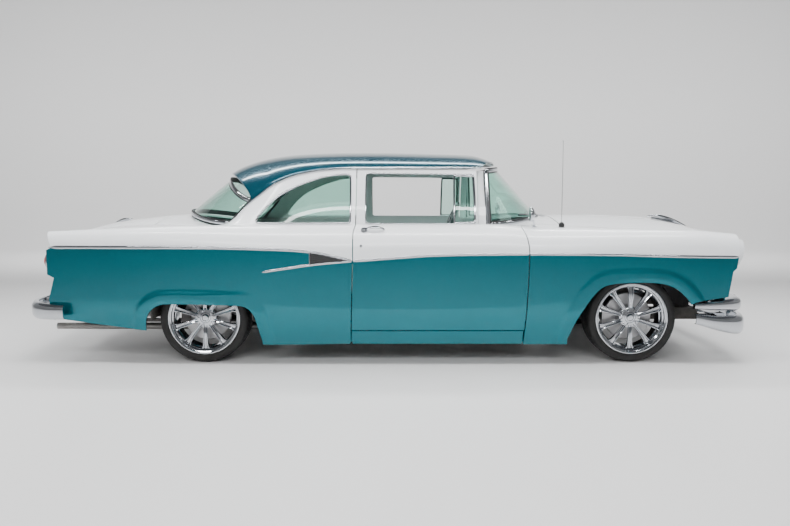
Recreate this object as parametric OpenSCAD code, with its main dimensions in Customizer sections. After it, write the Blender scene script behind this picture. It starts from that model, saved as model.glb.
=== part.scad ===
/* [Overall] */
// Distance between the axles
wheelbase = 2934; // [2500:1:3540]
// Front axle to the face of the front bumper
front_overhang = 846; // [780:1:1020]
// Rear axle to the face of the rear bumper
rear_overhang = 1262; // [1120:1:1520]
// Width of the body at its widest
body_w = 1928; // [1800:1:2320]
// Height of the roof's crown above the ground
roof_h = 1467; // [1380:1:1760]
// Height of the window sill above the ground
sill_h = 950; // [900:1:1000]
// Height of the rocker's bottom edge above the ground
rocker_h = 138; // [110:1:190]

/* [Panels] */
// Thickness of the fenders, hood and lids with their inner frames
panel_t = 18; // [12:1:24]
// Thickness of the cabin's side wall behind the doors
wall_t = 45; // [36:1:54]
// Thickness of the roof with its lining
roof_t = 26; // [20:1:34]
// Gap between a moving panel and its neighbours
panel_gap = 7; // [6:0.5:10]
// Thickness of the glass
glass_t = 6; // [4:0.5:8]
// Clearance between fixed pieces that lie side by side
seat_gap = 0.3; // [0.2:0.1:1]

/* [Doors] */
// Length of a door at the moulding
door_len = 1176; // [1000:1:1400]
// Front axle back to a door's front edge
door_to_axle = 732; // [700:1:800]
// Thickness of a door below its window
door_t = 100; // [84:1:120]
// Thickness of a door's window frame
frame_t = 34; // [28:1:40]

/* [Wheels] */
// Outer radius of a tyre
tyre_r = 306; // [256:1:367]
// Width of a tyre
tyre_w = 225; // [188:1:250]
// Radius of a rim's outer flange
rim_r = 247; // [206:1:270]
// Distance between the middles of the front tyres
front_track = 1470; // [1440:1:1500]
// Distance between the middles of the rear tyres
rear_track = 1486; // [1450:1:1520]
// Depth of a spoke's face behind the rim's outer edge
dish = 36; // [20:1:50]
// Number of spokes in a wheel
spoke_count = 10; // [8:1:12]
// Radius of a brake disc
disc_r = 165; // [140:1:180]
// Distance from a front tyre's middle in to its kingpin
kingpin_in = 95; // [85:1:105]

/* [Cabin] */
// Height of the floor's upper face
floor_h = 275; // [260:1:300]
// Height of the seat cushions' tops
seat_h = 560; // [520:1:590]
// Radius of the steering wheel
wheel_r = 200; // [170:1:220]
// Distance of the driver's middle from the car's middle
driver_y = 370; // [330:1:400]

/* [Hidden] */
$fn = 48;

// Places along the car: x is forward, y to the left, z up, and the ground is z = 0
length = wheelbase + front_overhang + rear_overhang;
front_x = length / 2;
rear_x = -length / 2;
xf = front_x - front_overhang;
xr = rear_x + rear_overhang;
door_front = xf - door_to_axle;
door_rear = door_front - door_len;
half_w = body_w / 2;
fender_front = front_x - 146;
quarter_rear = rear_x + 216;
strip_h = sill_h - 192;
rail_h = roof_h - 132;
rail_y = half_w - 304;
door_low = rocker_h + 102;

// Cubic curve through the points p = [[x, value], ...], held level past its ends
function span(p, x, i = 0) = i >= len(p) - 2 || x < p[i + 1][0] ? i : span(p, x, i + 1);
function slope(p, i) =
    let (a = max(i - 1, 0), b = min(i + 1, len(p) - 1))
    (p[b][1] - p[a][1]) / (p[b][0] - p[a][0]);
function curve(p, x) =
    let (
        c = min(max(x, p[0][0]), p[len(p) - 1][0]),
        i = span(p, c),
        h = p[i + 1][0] - p[i][0],
        t = (c - p[i][0]) / h
    )
    (2 * pow(t, 3) - 3 * pow(t, 2) + 1) * p[i][1]
    + (pow(t, 3) - 2 * pow(t, 2) + t) * h * slope(p, i)
    + (3 * pow(t, 2) - 2 * pow(t, 3)) * p[i + 1][1]
    + (pow(t, 3) - pow(t, 2)) * h * slope(p, i + 1);
function steps(a, b, n) = [for (i = [0 : n]) a + (b - a) * i / n];

// Side of the body: half width at the moulding, shoulder height, and the shoulder's round
plan_pts = [
    [quarter_rear, half_w - 82], [xr - 500, half_w - 34], [xr + 100, half_w - 8],
    [door_rear, half_w], [door_front, half_w - 2], [xf, half_w - 12],
    [xf + 400, half_w - 34], [fender_front, half_w - 76]
];
shoulder_pts = [
    [quarter_rear, sill_h - 46], [xr - 660, sill_h - 29], [xr - 100, sill_h - 8], [door_rear, sill_h],
    [door_front - 200, sill_h], [door_front + 60, sill_h - 18], [xf, sill_h - 30],
    [xf + 400, sill_h - 38], [fender_front, sill_h - 64]
];
round_in_pts = [
    [quarter_rear, 60], [xr - 250, 110], [xr + 350, 165], [door_rear, 175],
    [door_front, 172], [xf, 125], [fender_front, 92]
];
round_up_pts = [
    [quarter_rear, 76], [xr - 250, 120], [xr + 350, 175], [door_rear, 188],
    [door_front, 172], [xf, 128], [fender_front, 100]
];
tuck_h = 320;
tuck_in = 84;
function plan_w(x) = curve(plan_pts, x);
function shoulder_z(x) = curve(shoulder_pts, x);
function tuck(z) = tuck_in * pow(max(rocker_h + tuck_h - z, 0) / tuck_h, 2);
function ridge_y(x) = plan_w(x) - curve(round_in_pts, x);

// Section from height z0 up to the shoulder's ridge, as [y, z] points
function side_points(x, z0, n = 6) =
    let (z1 = shoulder_z(x) - curve(round_up_pts, x))
    [for (z = steps(z0, z1, n)) [plan_w(x) - tuck(z), z]];
function shoulder_points(x, n = 5) =
    [for (i = [1 : n]) [
        plan_w(x) - curve(round_in_pts, x) * (1 - cos(90 * i / n)),
        shoulder_z(x) - curve(round_up_pts, x) * (1 - sin(90 * i / n))
    ]];

// Glasshouse: it leans in from the shoulder's ridge to the drip rail
rail_end = xr + 300;
pillar_foot = xr + 150;
house_pts = [
    [pillar_foot, sill_h + 20], [rail_end, rail_h - 232], [xr + 358, rail_h - 190],
    [xr + 444, rail_h - 126], [xr + 560, rail_h - 68], [xr + 677, rail_h - 34],
    [xr + 793, rail_h - 13], [xr + 966, rail_h - 2], [door_front, rail_h]
];
rail_y_pts = [
    [pillar_foot, rail_y - 34], [rail_end, rail_y - 22], [xr + 660, rail_y],
    [door_front - 300, rail_y - 4], [door_front, rail_y - 30]
];
function house_z(x) = curve(house_pts, x);
function house_y(x, z) =
    let (s = (z - shoulder_z(x)) / (rail_h - shoulder_z(x)))
    ridge_y(x) + (curve(rail_y_pts, x) - ridge_y(x)) * s + 14 * sin(180 * s);
function house_points(x, top, n = 6) =
    [for (i = [1 : n]) let (z = shoulder_z(x) + (top - shoulder_z(x)) * i / n) [house_y(x, z), z]];

// Top of the nose and of the deck: height at the middle and at the panel's edge
hood_hw = half_w - 304;
deck_hw = half_w - 344;
hood_rear = door_front + 270;
hood_front = fender_front + 8;
deck_front = xr - 385;
hood_mid_pts = [
    [door_front + 120, sill_h + 40], [xf - 322, sill_h + 41], [xf - 91, sill_h + 36],
    [xf + 199, sill_h + 24], [xf + 361, sill_h + 11], [xf + 490, sill_h - 11],
    [xf + 631, sill_h - 51], [xf + 689, sill_h - 80], [hood_front, sill_h - 112]
];
hood_edge_pts = [
    [door_front + 120, sill_h - 6], [xf, sill_h - 32], [xf + 400, sill_h - 52],
    [hood_front - 60, sill_h - 84], [hood_front, sill_h - 112]
];
deck_mid_pts = [
    [quarter_rear - 20, sill_h - 118], [quarter_rear + 48, sill_h - 73], [xr - 832, sill_h - 12],
    [xr - 450, sill_h + 36], [xr - 300, sill_h + 44], [xr + 200, sill_h + 4]
];
deck_edge_pts = [
    [quarter_rear - 20, sill_h - 128], [quarter_rear + 48, sill_h - 92], [xr - 832, sill_h - 48],
    [xr - 450, sill_h - 12], [xr + 200, sill_h - 20]
];
function crown(mid, edge, x, y, hw) =
    let (m = curve(mid, x), e = curve(edge, x)) m - (m - e) * pow(abs(y) / hw, 2.2);
function hood_z(x, y) = crown(hood_mid_pts, hood_edge_pts, x, y, hood_hw);
function deck_z(x, y) = crown(deck_mid_pts, deck_edge_pts, x, y, deck_hw);

// Roof: crown heights along the middle, and the front and back edges, which bow
roof_back = xr + 50;
roof_front = door_front - 139;
roof_mid_pts = [
    [roof_back, roof_h - 157], [xr + 142, roof_h - 106], [xr + 273, roof_h - 61],
    [xr + 430, roof_h - 29], [xr + 599, roof_h - 12], [xr + 859, roof_h - 2],
    [xr + 1184, roof_h], [door_front - 595, roof_h - 9], [door_front - 335, roof_h - 19],
    [door_front - 244, roof_h - 41], [door_front - 179, roof_h - 74], [roof_front, roof_h - 93]
];
roof_rail_pts = [
    [roof_back, rail_h - 420], [rail_end, rail_h - 232], [xr + 358, rail_h - 190],
    [xr + 444, rail_h - 126], [xr + 560, rail_h - 68], [xr + 677, rail_h - 34],
    [xr + 793, rail_h - 13], [xr + 966, rail_h - 2], [door_front, rail_h]
];
roof_bow_front = 150;
roof_bow_back = 250;
function roof_point(u, v, drop = 0) =
    let (
        x = (roof_back + roof_bow_back * pow(abs(v), 2)) * (1 - u)
            + (roof_front - roof_bow_front * pow(abs(v), 2.5)) * u,
        low = curve(roof_rail_pts, x),
        top = curve(roof_mid_pts, x)
    )
    [
        x,
        v * (curve(rail_y_pts, x) - drop * pow(abs(v), 6)),
        low + (top - low) * pow(1 - pow(abs(v), 2.5), 0.66) - drop * (1 - pow(abs(v), 6))
    ];

// Door edges in side view, as x for a height z
door_rear_pts = [
    [rocker_h, door_rear - 14], [door_low, door_rear - 10], [strip_h - 30, door_rear + 4],
    [sill_h - 45, door_rear + 6], [sill_h - 5, door_rear + 16], [rail_h, door_rear + 22]
];
door_front_pts = [
    [rocker_h, door_front - 24], [door_low, door_front - 20], [strip_h - 250, door_front - 7],
    [strip_h, door_front], [sill_h - 117, door_front - 7], [sill_h - 63, door_front - 20],
    [sill_h - 24, door_front - 36]
];
door_top = rail_h - 10;
pillar_x = door_front - 288;

// Wheel arches in side view: how far the panel hides the tyre's top, and the lip
front_cover = 50;
rear_cover = 192;
front_arch = [
    [-452, rocker_h + 40], [-405, tyre_r], [-340, tyre_r + 112], [-281, tyre_r + 190],
    [-224, 2 * tyre_r - front_cover - 20], [-126, 2 * tyre_r - front_cover],
    [71, 2 * tyre_r - front_cover + 4], [169, 2 * tyre_r - front_cover - 5],
    [249, 2 * tyre_r - front_cover - 32], [320, 2 * tyre_r - front_cover - 86],
    [365, 2 * tyre_r - front_cover - 138], [400, 2 * tyre_r - front_cover - 200]
];
rear_arch = [
    [-384, rocker_h + 20], [-374, 300], [-349, 2 * tyre_r - rear_cover - 60],
    [-301, 2 * tyre_r - rear_cover - 18], [-239, 2 * tyre_r - rear_cover],
    [220, 2 * tyre_r - rear_cover - 7], [293, 2 * tyre_r - rear_cover - 14],
    [336, 2 * tyre_r - rear_cover - 40], [365, 2 * tyre_r - rear_cover - 84],
    [382, 2 * tyre_r - rear_cover - 151], [406, rocker_h + 20]
];

// Closed shell from rings that each hold an outer curve and the inner curve back
module loft(rings) {
    n = len(rings);
    m = len(rings[0]);
    half = m / 2;
    points = [for (r = rings) each r];
    sides = [for (i = [0 : n - 2], j = [0 : m - 1])
        let (a = i * m + j, b = i * m + (j + 1) % m, c = b + m, d = a + m)
        each [[a, c, b], [a, d, c]]];
    start = [for (j = [0 : half - 2])
        let (a = j, b = j + 1, c = m - 2 - j, d = m - 1 - j) each [[a, b, c], [a, c, d]]];
    end = [for (f = start) [for (k = [2, 1, 0]) f[k] + (n - 1) * m]];
    polyhedron(points, concat(sides, start, end));
}

// Points of a curve moved sideways by t, inward for one that runs up the left side
function offset_curve(p, t) =
    [for (i = [0 : len(p) - 1])
        let (
            a = p[max(i - 1, 0)],
            b = p[min(i + 1, len(p) - 1)],
            d = (b - a) / norm(b - a)
        )
        p[i] + t * [-d[1], d[0]]];
function at_x(x, p) = [for (q = p) [x, q[0], q[1]]];
function backwards(p) = [for (i = [len(p) - 1 : -1 : 0]) p[i]];
// Ring at station x for a wall between two depths under its outer curve
function wall_ring(x, p, from, to) =
    concat(at_x(x, offset_curve(p, from)), at_x(x, backwards(offset_curve(p, to))));

// Side-view outline, as [x, z] points, carried across the body's left half
module side_cut(outline, from = 0, to = half_w + 60) {
    translate([0, to, 0]) rotate([90, 0, 0]) linear_extrude(to - from) polygon(outline);
}
module at_right() { mirror([0, 1, 0]) children(); }
module both_sides() {
    children();
    at_right() children();
}
module along_y(r, from, to) {
    translate([0, from, 0]) rotate([-90, 0, 0]) cylinder(r = r, h = to - from);
}
module along_x(r, from, to) {
    translate([from, 0, 0]) rotate([0, 90, 0]) cylinder(r = r, h = to - from);
}
module block(low, high) { translate(low) cube(high - low); }

// ---- Fixed body ----

fender_low_pts = [
    [door_front, rocker_h - 4], [xf - 440, rocker_h - 2], [xf - 300, rocker_h], [xf + 330, rocker_h + 250],
    [xf + 398, rocker_h + 292], [fender_front - 160, rocker_h + 314], [fender_front, rocker_h + 332]
];
lamp_y = half_w - 192;
lamp_h = strip_h - 4;
lamp_r = 102;
module front_fender() {
    edge = panel_gap + hood_hw;
    stations = steps(door_front - 40, fender_front, 13);
    difference() {
        union() {
            loft([for (x = stations)
                let (p = concat(
                    side_points(x, curve(fender_low_pts, x)),
                    shoulder_points(x),
                    [for (s = [1 : 2])
                        let (y = ridge_y(x) + (edge - ridge_y(x)) * s / 2)
                        [y, shoulder_z(x) + (curve(hood_edge_pts, x) - shoulder_z(x)) * s / 2]]
                ))
                wall_ring(x, p, 0, panel_t)]);
            headlamp_wall();
        }
        side_cut(concat(
            [for (z = steps(rocker_h - 20, sill_h - 24, 14)) [curve(door_front_pts, z) + panel_gap, z]],
            [[door_front - 60, sill_h + 90], [door_front - 60, rocker_h - 20]]
        ));
        block([door_front - 60, 0, sill_h - 30], [door_front + 40, half_w, sill_h + 90]);
        side_cut([
            [fender_front - 3, sill_h + 20], [fender_front, strip_h], [fender_front - 14, strip_h - 100],
            [fender_front - 40, strip_h - 124], [fender_front - 50, strip_h - 190],
            [fender_front - 76, rocker_h + 280], [fender_front + 60, rocker_h + 280],
            [fender_front + 60, sill_h + 20]
        ]);
        side_cut([for (p = concat(front_arch, [[400, 0], [-452, 0]])) [xf + p[0], p[1]]]);
        block([door_front - 100, 0, 0], [front_x, edge, roof_h]);
    }
}
// Wall across the fender's front end, with the lamp's hole
module headlamp_wall() {
    x = fender_front - 110;
    outline = concat(
        side_points(x, rocker_h + 330),
        shoulder_points(x),
        [[hood_hw + panel_gap, curve(hood_edge_pts, x)], [hood_hw + panel_gap, rocker_h + 330]]
    );
    translate([x, 0, 0]) rotate([90, 0, 90]) linear_extrude(14) difference() {
        offset(delta = -panel_t / 2) polygon(outline);
        translate([lamp_y, lamp_h]) circle(lamp_r - 6 + seat_gap);
    }
}
module front_fender_left() { color([0.93, 0.94, 0.93]) front_fender(); }
module front_fender_right() { color([0.93, 0.94, 0.93]) at_right() front_fender(); }

quarter_low_pts = [
    [quarter_rear, rocker_h + 180], [xr - 938, rocker_h + 166], [xr - 383, rocker_h + 95],
    [xr + 300, rocker_h], [door_rear, rocker_h]
];
quarter_window_top = [
    [xr + 356, sill_h + 28], [xr + 371, sill_h + 58], [xr + 420, rail_h - 268], [xr + 510, rail_h - 188],
    [xr + 624, rail_h - 126], [xr + 739, rail_h - 82], [xr + 854, rail_h - 52],
    [door_rear - 45, rail_h - 44]
];
quarter_window = concat(
    quarter_window_top,
    [[door_rear - 24, rail_h - 60], [door_rear - 24, sill_h + 14], [door_rear - 36, sill_h + 3],
     [xr + 372, sill_h + 3], [xr + 358, sill_h + 12]]
);
lamp_back_r = 80;
lamp_back_y = half_w - 184;
lamp_back_h = sill_h - 252;
module quarter_panel() {
    back = steps(quarter_rear, pillar_foot, 10);
    front = steps(pillar_foot, door_rear + 24, 9);
    difference() {
        union() {
            loft([for (x = back)
                let (p = concat(
                    side_points(x, curve(quarter_low_pts, x)),
                    shoulder_points(x),
                    [for (s = [1 : 2])
                        let (y = ridge_y(x) + (deck_hw - ridge_y(x)) * s / 2)
                        [y, shoulder_z(x) + (curve(deck_edge_pts, x) - shoulder_z(x)) * s / 2]]
                ))
                wall_ring(x, p, 0, panel_t)]);
            loft([for (x = front)
                wall_ring(
                    x,
                    concat(side_points(x, rocker_h), shoulder_points(x), house_points(x, house_z(x))),
                    0, wall_t
                )]);
            tail_wall();
        }
        side_cut(concat(
            [for (z = steps(rocker_h - 20, rail_h, 16)) [curve(door_rear_pts, z) - panel_gap, z]],
            [[door_rear + 80, rail_h + 40], [door_rear + 80, rocker_h - 20]]
        ));
        side_cut(quarter_window);
        side_cut([for (p = concat(rear_arch, [[406, 0], [-384, 0]])) [xr + p[0], p[1]]]);
        side_cut([
            [quarter_rear - 40, sill_h - 40], [quarter_rear, sill_h - 46], [quarter_rear + 34, strip_h + 40],
            [quarter_rear - 6, strip_h + 18], [quarter_rear - 8, strip_h - 140],
            [quarter_rear + 46, strip_h - 166], [quarter_rear + 6, strip_h - 310],
            [quarter_rear + 20, rocker_h + 150], [quarter_rear - 40, rocker_h + 150]
        ], deck_hw + 40);
        block([quarter_rear - 60, 0, 0], [pillar_foot - 1, deck_hw, roof_h]);
    }
}
// Wall across the quarter panel's rear end, with the lamp's hole
module tail_wall() {
    x = quarter_rear + 50;
    outline = concat(
        side_points(x, rocker_h + 200),
        shoulder_points(x),
        [[deck_hw + 2, curve(deck_edge_pts, x)], [deck_hw + 2, rocker_h + 200]]
    );
    translate([x, 0, 0]) rotate([90, 0, 90]) linear_extrude(14) difference() {
        offset(delta = -panel_t / 2) polygon(outline);
        translate([lamp_back_y, lamp_back_h]) circle(lamp_back_r - 12 + seat_gap);
    }
}
module quarter_panel_left() { color([0.05, 0.55, 0.6]) quarter_panel(); }
module quarter_panel_right() { color([0.05, 0.55, 0.6]) at_right() quarter_panel(); }

module roof() {
    stations = steps(0, 1, 15);
    across = [-1, -0.985, -0.95, -0.88, -0.78, -0.62, -0.4, -0.2];
    row = concat(across, [0], [for (v = backwards(across)) -v]);
    color([0.04, 0.4, 0.52]) loft([for (u = stations)
        concat([for (v = backwards(row)) roof_point(u, v)], [for (v = row) roof_point(u, v, roof_t)])]);
}

// Panoramic glass: a bowed base curve and a bowed top curve, with a straight lean between
function bow(c, n) = sign(c) * pow(abs(c), 2 / n);
screen_base = [pillar_x + 36, 461, half_w - 210, sill_h + 34, 36];
screen_top = [pillar_x + 25, 153, rail_y + 14, rail_h + 2, 20];
back_base = [xr + 166, -435, half_w - 296, sill_h + 67, 66];
back_top = [xr + 306, -270, half_w - 344, rail_h - 70, 154];
function bow_point(e, a, d) = [
    e[0] + (e[1] - sign(e[1]) * d) * bow(max(cos(a), 0), 1.75),
    (e[2] - d) * bow(sin(a), 1.75),
    e[3] - e[4] * pow(abs(sin(a)), 2.4)
];
function glass_point(low, top, u, a, d) =
    let (p = bow_point(low, a, d), q = bow_point(top, a, d)) p + (q - p) * u;
function screen_ring(u0, u1, a, from, to) = concat(
    [for (u = steps(u0, u1, 3)) glass_point(screen_base, screen_top, u, a, from)],
    [for (u = steps(u1, u0, 3)) glass_point(screen_base, screen_top, u, a, to)]
);
function back_ring(u0, u1, a, from, to) = concat(
    [for (u = steps(u0, u1, 3)) glass_point(back_base, back_top, u, a, from)],
    [for (u = steps(u1, u0, 3)) glass_point(back_base, back_top, u, a, to)]
);
module screen_band(u0, u1, reach, from, to) {
    loft([for (a = steps(reach, -reach, 22)) screen_ring(u0, u1, a, from, to)]);
}
module back_band(u0, u1, reach, from, to) {
    loft([for (a = steps(-reach, reach, 22)) back_ring(u0, u1, a, from, to)]);
}
module windshield() {
    color([0.5, 0.68, 0.62]) screen_band(0.03, 0.97, 87.6, 6, 6 + glass_t * 1.4);
}
module rear_window() {
    color([0.5, 0.68, 0.62]) back_band(0.052, 0.948, 86, 6, 6 + glass_t * 1.4);
}

// Firewall, cowl top, kick panels, windshield pillars and the frame round the windshield
module cowl() {
    x0 = pillar_x - 30;
    x1 = hood_rear - panel_gap;
    wide = half_w - 208;
    color([0.93, 0.94, 0.93]) {
        difference() {
            loft([for (x = steps(x0, x1, 9))
                let (
                    w = x < door_front - 44 ? wide : min(wide, ridge_y(x) - 4),
                    p = [for (v = steps(1, -1, 14)) [v * w, hood_z(x, min(abs(v) * w, hood_hw))]]
                )
                concat(at_x(x, p), at_x(x, [for (q = backwards(p)) q - [0, panel_t]]))]);
            translate([0, 0, sill_h - 120]) linear_extrude(200) polygon([
                for (a = steps(-90, 90, 30)) let (q = bow_point(screen_base, a, 26)) [q[0], q[1]]
            ]);
            block([door_front - 44, hood_hw + panel_gap - 0.2, 0], [x1 + 9, half_w, roof_h]);
            at_right() block([door_front - 44, hood_hw + panel_gap - 0.2, 0], [x1 + 9, half_w, roof_h]);
            translate([0, 0, sill_h - 120]) linear_extrude(200)
                square([2 * pillar_x + 80, 2 * wide - 60], center = true);
        }
        difference() {
            screen_band(-0.03, 1.02, 90, 0, 22);
            screen_band(0.028, 0.972, 87.6, -30, 60);
        }
        difference() {
            block([door_front + 178, 230 - half_w, floor_h + 0.3], [door_front + 190, half_w - 230, sill_h - 40]);
            block([door_front + 170, -tunnel_w + 8, 0], [door_front + 200, tunnel_w - 8, tunnel_h - 8]);
        }
        both_sides() {
            block([door_front + 10, half_w - 232, floor_h + 0.3], [door_front + 190, half_w - 218, sill_h - 40]);
            block([door_front + 16, half_w - 220, floor_h + seat_gap], [door_front + 76, half_w - 120, sill_h - 120]);
            for (z = [480, 660])
                block([door_front - 36, half_w - 130, z], [door_front + 30, half_w - 2 - door_t - seat_gap, z + 40]);
            block([pillar_x - 30, half_w - 240, sill_h - 60], [door_front - 50, half_w - 210, sill_h - 6]);
            windshield_pillar();
        }
    }
}
module windshield_pillar() {
    intersection() {
        loft([for (x = [pillar_x - 30, pillar_x - 12, pillar_x + 5, pillar_x + 22])
            let (foot = [[ridge_y(x), shoulder_z(x) - 30], [ridge_y(x), shoulder_z(x)]])
            wall_ring(x, concat(foot, house_points(x, rail_h - 6, 6)), 30, 62)]);
        block([pillar_x - 40, 0, sill_h - 60], [pillar_x + 40, half_w, rail_h - 14]);
    }
}

pad_y = deck_hw - 60;
lid_pad = deck_z(deck_front - 60, pad_y) - panel_t - 1.1;
// Shelf under the rear window, the panel ahead of the trunk lid and the window's frame
module rear_deck() {
    color([0.93, 0.94, 0.93]) {
        difference() {
            loft([for (x = steps(deck_front, pillar_foot - 2, 8))
                let (p = [for (v = steps(1, -1, 12)) [v * (deck_hw - seat_gap), deck_z(x, v * deck_hw)]])
                concat(at_x(x, p), at_x(x, [for (q = backwards(p)) q - [0, panel_t]]))]);
            translate([0, 0, sill_h - 160]) linear_extrude(300) polygon([
                for (a = steps(-90, 90, 30)) let (q = bow_point(back_base, a, 30)) [q[0], q[1]]
            ]);
        }
        difference() {
            back_band(-0.13, 1, 90, 0, 22);
            back_band(0.047, 0.953, 86, -30, 60);
            both_sides() block([deck_front, deck_hw - 0.5, 0], [rail_end, half_w, sill_h - 13.5]);
            both_sides() block([rail_end - 8, deck_hw - 30, rail_h - 235], [rail_end + 30, half_w, rail_h]);
        }
        block([xr - 330, -pad_y, sill_h - 92], [xr + 240, pad_y, sill_h - 78]);
        block([deck_front + 60, 60 - pad_y, sill_h - 92], [deck_front + 74, pad_y - 60, sill_h]);
        both_sides() block([deck_front - 60, pad_y - 60, lid_pad - 14], [deck_front + 62, pad_y, lid_pad]);
        both_sides() block([deck_front + 50, pad_y - 70, sill_h - 92], [deck_front + 74, pad_y, lid_pad]);
    }
}

// Trunk lid, and the tail below it
function tail_x(y) = quarter_rear - 30 + 60 * pow(abs(y) / deck_hw, 2.4);
function lid_curve(y) = concat(
    [for (x = steps(deck_front - panel_gap, quarter_rear + 48, 8)) [x, deck_z(x, y)]],
    [
        [tail_x(y) + 34, sill_h - 88 - 20 * pow(abs(y) / deck_hw, 2)],
        [tail_x(y) + 10, sill_h - 130], [tail_x(y), sill_h - 200],
        [tail_x(y) - 4, sill_h - 300], [tail_x(y), sill_h - 390]
    ]
);
module lid_loft(w) {
    n = 14;
    loft([for (i = [0 : n])
        let (y = w * (2 * i / n - 1), p = lid_curve(y), q = offset_curve(p, panel_t))
        concat([for (a = backwards(p)) [a[0], y, a[1]]], [for (a = q) [a[0], y, a[1]]])]);
}
module trunk_lid() {
    color([0.93, 0.94, 0.93]) lid_loft(deck_hw - panel_gap);
}
module tail_panel() {
    top = sill_h - 390 - panel_gap;
    n = 14;
    w = deck_hw - 4;
    color([0.05, 0.5, 0.56]) {
        loft([for (i = [0 : n])
            let (
                y = w * (2 * i / n - 1),
                p = [for (z = [sill_h - 530, sill_h - 500, sill_h - 450, top]) [tail_x(y) + 4, z]]
            )
            concat([for (a = p) [a[0], y, a[1]]], [for (a = backwards(p)) [a[0] + panel_t, y, a[1]]])]);
        both_sides() block(
            [quarter_rear + 40, deck_hw - 20, sill_h - 520],
            [quarter_rear + 64, deck_hw + 2 + panel_t / 2 - seat_gap, top - 4]
        );
    }
}

module hood() {
    n = 16;
    x0 = hood_rear;
    color([0.93, 0.94, 0.93]) loft([for (x = steps(x0, hood_front, n))
        let (p = [for (v = steps(1, -1, 16)) [v * hood_hw, hood_z(x, v * hood_hw)]])
        concat(at_x(x, p), at_x(x, [for (q = backwards(p)) q - [0, panel_t]]))]);
}

// Panel between the lamps, above the grille
module nose_panel() {
    top = sill_h - 112 - panel_t - panel_gap - 2;
    color([0.93, 0.94, 0.93]) {
        loft([for (v = steps(1, -1, 12))
            let (
                y = v * (hood_hw - 2),
                x = hood_front - 12 + 26 * (1 - v * v),
                p = [for (q = [[-26, 0], [-4, -14], [0, -50], [-12, -120], [-46, -190]]) [x + q[0], top + q[1]]]
            )
            concat([for (a = backwards(p)) [a[0], y, a[1]]], [for (a = p) [a[0] - 14, y, a[1]]])]);
        both_sides() {
            block([fender_front - 110, hood_hw - 20, top - 120],
                [fender_front - 96, hood_hw + panel_gap + panel_t / 2 - seat_gap, top - 40]);
            block([fender_front - 110, hood_hw - 20, top - 120], [hood_front - 32, hood_hw - 4, top - 40]);
        }
    }
}

// ---- Doors ----

window_front = pillar_x - 51;
vent_bar = window_front - 146;
door_window = [
    [door_rear + 81, sill_h + 4], [window_front, sill_h + 4], [window_front - 8, door_top - 36],
    [door_rear + 120, door_top - 26], [door_rear + 84, door_top - 34]
];
module door() {
    difference() {
        loft([for (x = steps(door_rear - 20, door_front + 20, 15))
            let (
                low = side_points(x, door_low),
                mid = shoulder_points(x),
                up = house_points(x, door_top),
                p = concat(low, mid, up),
                thick = concat([for (q = concat(low, mid)) door_t], [for (q = up) frame_t]),
                deep = offset_curve(p, 1),
                raw = [for (i = [0 : len(p) - 1]) p[i] + (deep[i] - p[i]) * thick[i]],
                n = len(low) + len(mid),
                inner = [for (i = [0 : len(p) - 1])
                    i < n ? [max(raw[i][0], ridge_y(x) - 2), min(raw[i][1], sill_h - 70 + 4 * (i - n))] : raw[i]]
            )
            concat(at_x(x, p), at_x(x, backwards(inner)))]);
        side_cut(concat(
            [for (z = steps(door_low - 20, sill_h + 60, 12)) [curve(door_front_pts, z), z]],
            [[door_front + 90, sill_h + 60], [door_front + 90, door_low - 20]]
        ));
        side_cut(concat(
            [for (z = steps(door_low - 20, rail_h + 20, 14)) [curve(door_rear_pts, z), z]],
            [[door_rear - 80, rail_h + 20], [door_rear - 80, door_low - 20]]
        ));
        side_cut(concat(
            [for (x = steps(pillar_x - 38, door_front + 40, 8)) [x, shoulder_z(x) + 0.5]],
            [[door_front + 40, roof_h], [pillar_x - 46, roof_h]]
        ));
        side_cut(door_window);
    }
}
module door_left() { color([0.05, 0.55, 0.6]) door(); }
module door_right() { color([0.05, 0.55, 0.6]) at_right() door(); }

module vent_window() {
    intersection() {
        loft([for (x = steps(vent_bar - 20, window_front + 10, 4))
            wall_ring(x, house_points(x, door_top), 14, 14 + glass_t)]);
        side_cut([
            [vent_bar - 3, sill_h + 4.3], [window_front - 0.3, sill_h + 4.3],
            [window_front - 8.3, door_top - 36.5], [vent_bar - 3, door_top - 35]
        ]);
    }
    intersection() {
        loft([for (x = [vent_bar - 14, vent_bar + 4])
            wall_ring(x, house_points(x, door_top), 6, 6 + glass_t + 16)]);
        side_cut([
            [vent_bar - 14, sill_h + 4.3], [vent_bar + 4, sill_h + 4.3],
            [vent_bar + 4, door_top - 34.6], [vent_bar - 14, door_top - 34.4]
        ]);
    }
}
module vent_window_left() { color([0.55, 0.72, 0.66]) vent_window(); }
module vent_window_right() { color([0.55, 0.72, 0.66]) at_right() vent_window(); }

module quarter_glass() {
    color([0.5, 0.68, 0.62]) both_sides() intersection() {
        loft([for (x = steps(xr + 340, door_rear, 10))
            wall_ring(x, house_points(x, rail_h - 3), 14, 14 + glass_t)]);
        translate([0, half_w + 60, 0]) rotate([90, 0, 0])
            linear_extrude(half_w) offset(delta = -seat_gap) polygon(quarter_window);
    }
}

// ---- Floor, frame and structure ----

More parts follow.
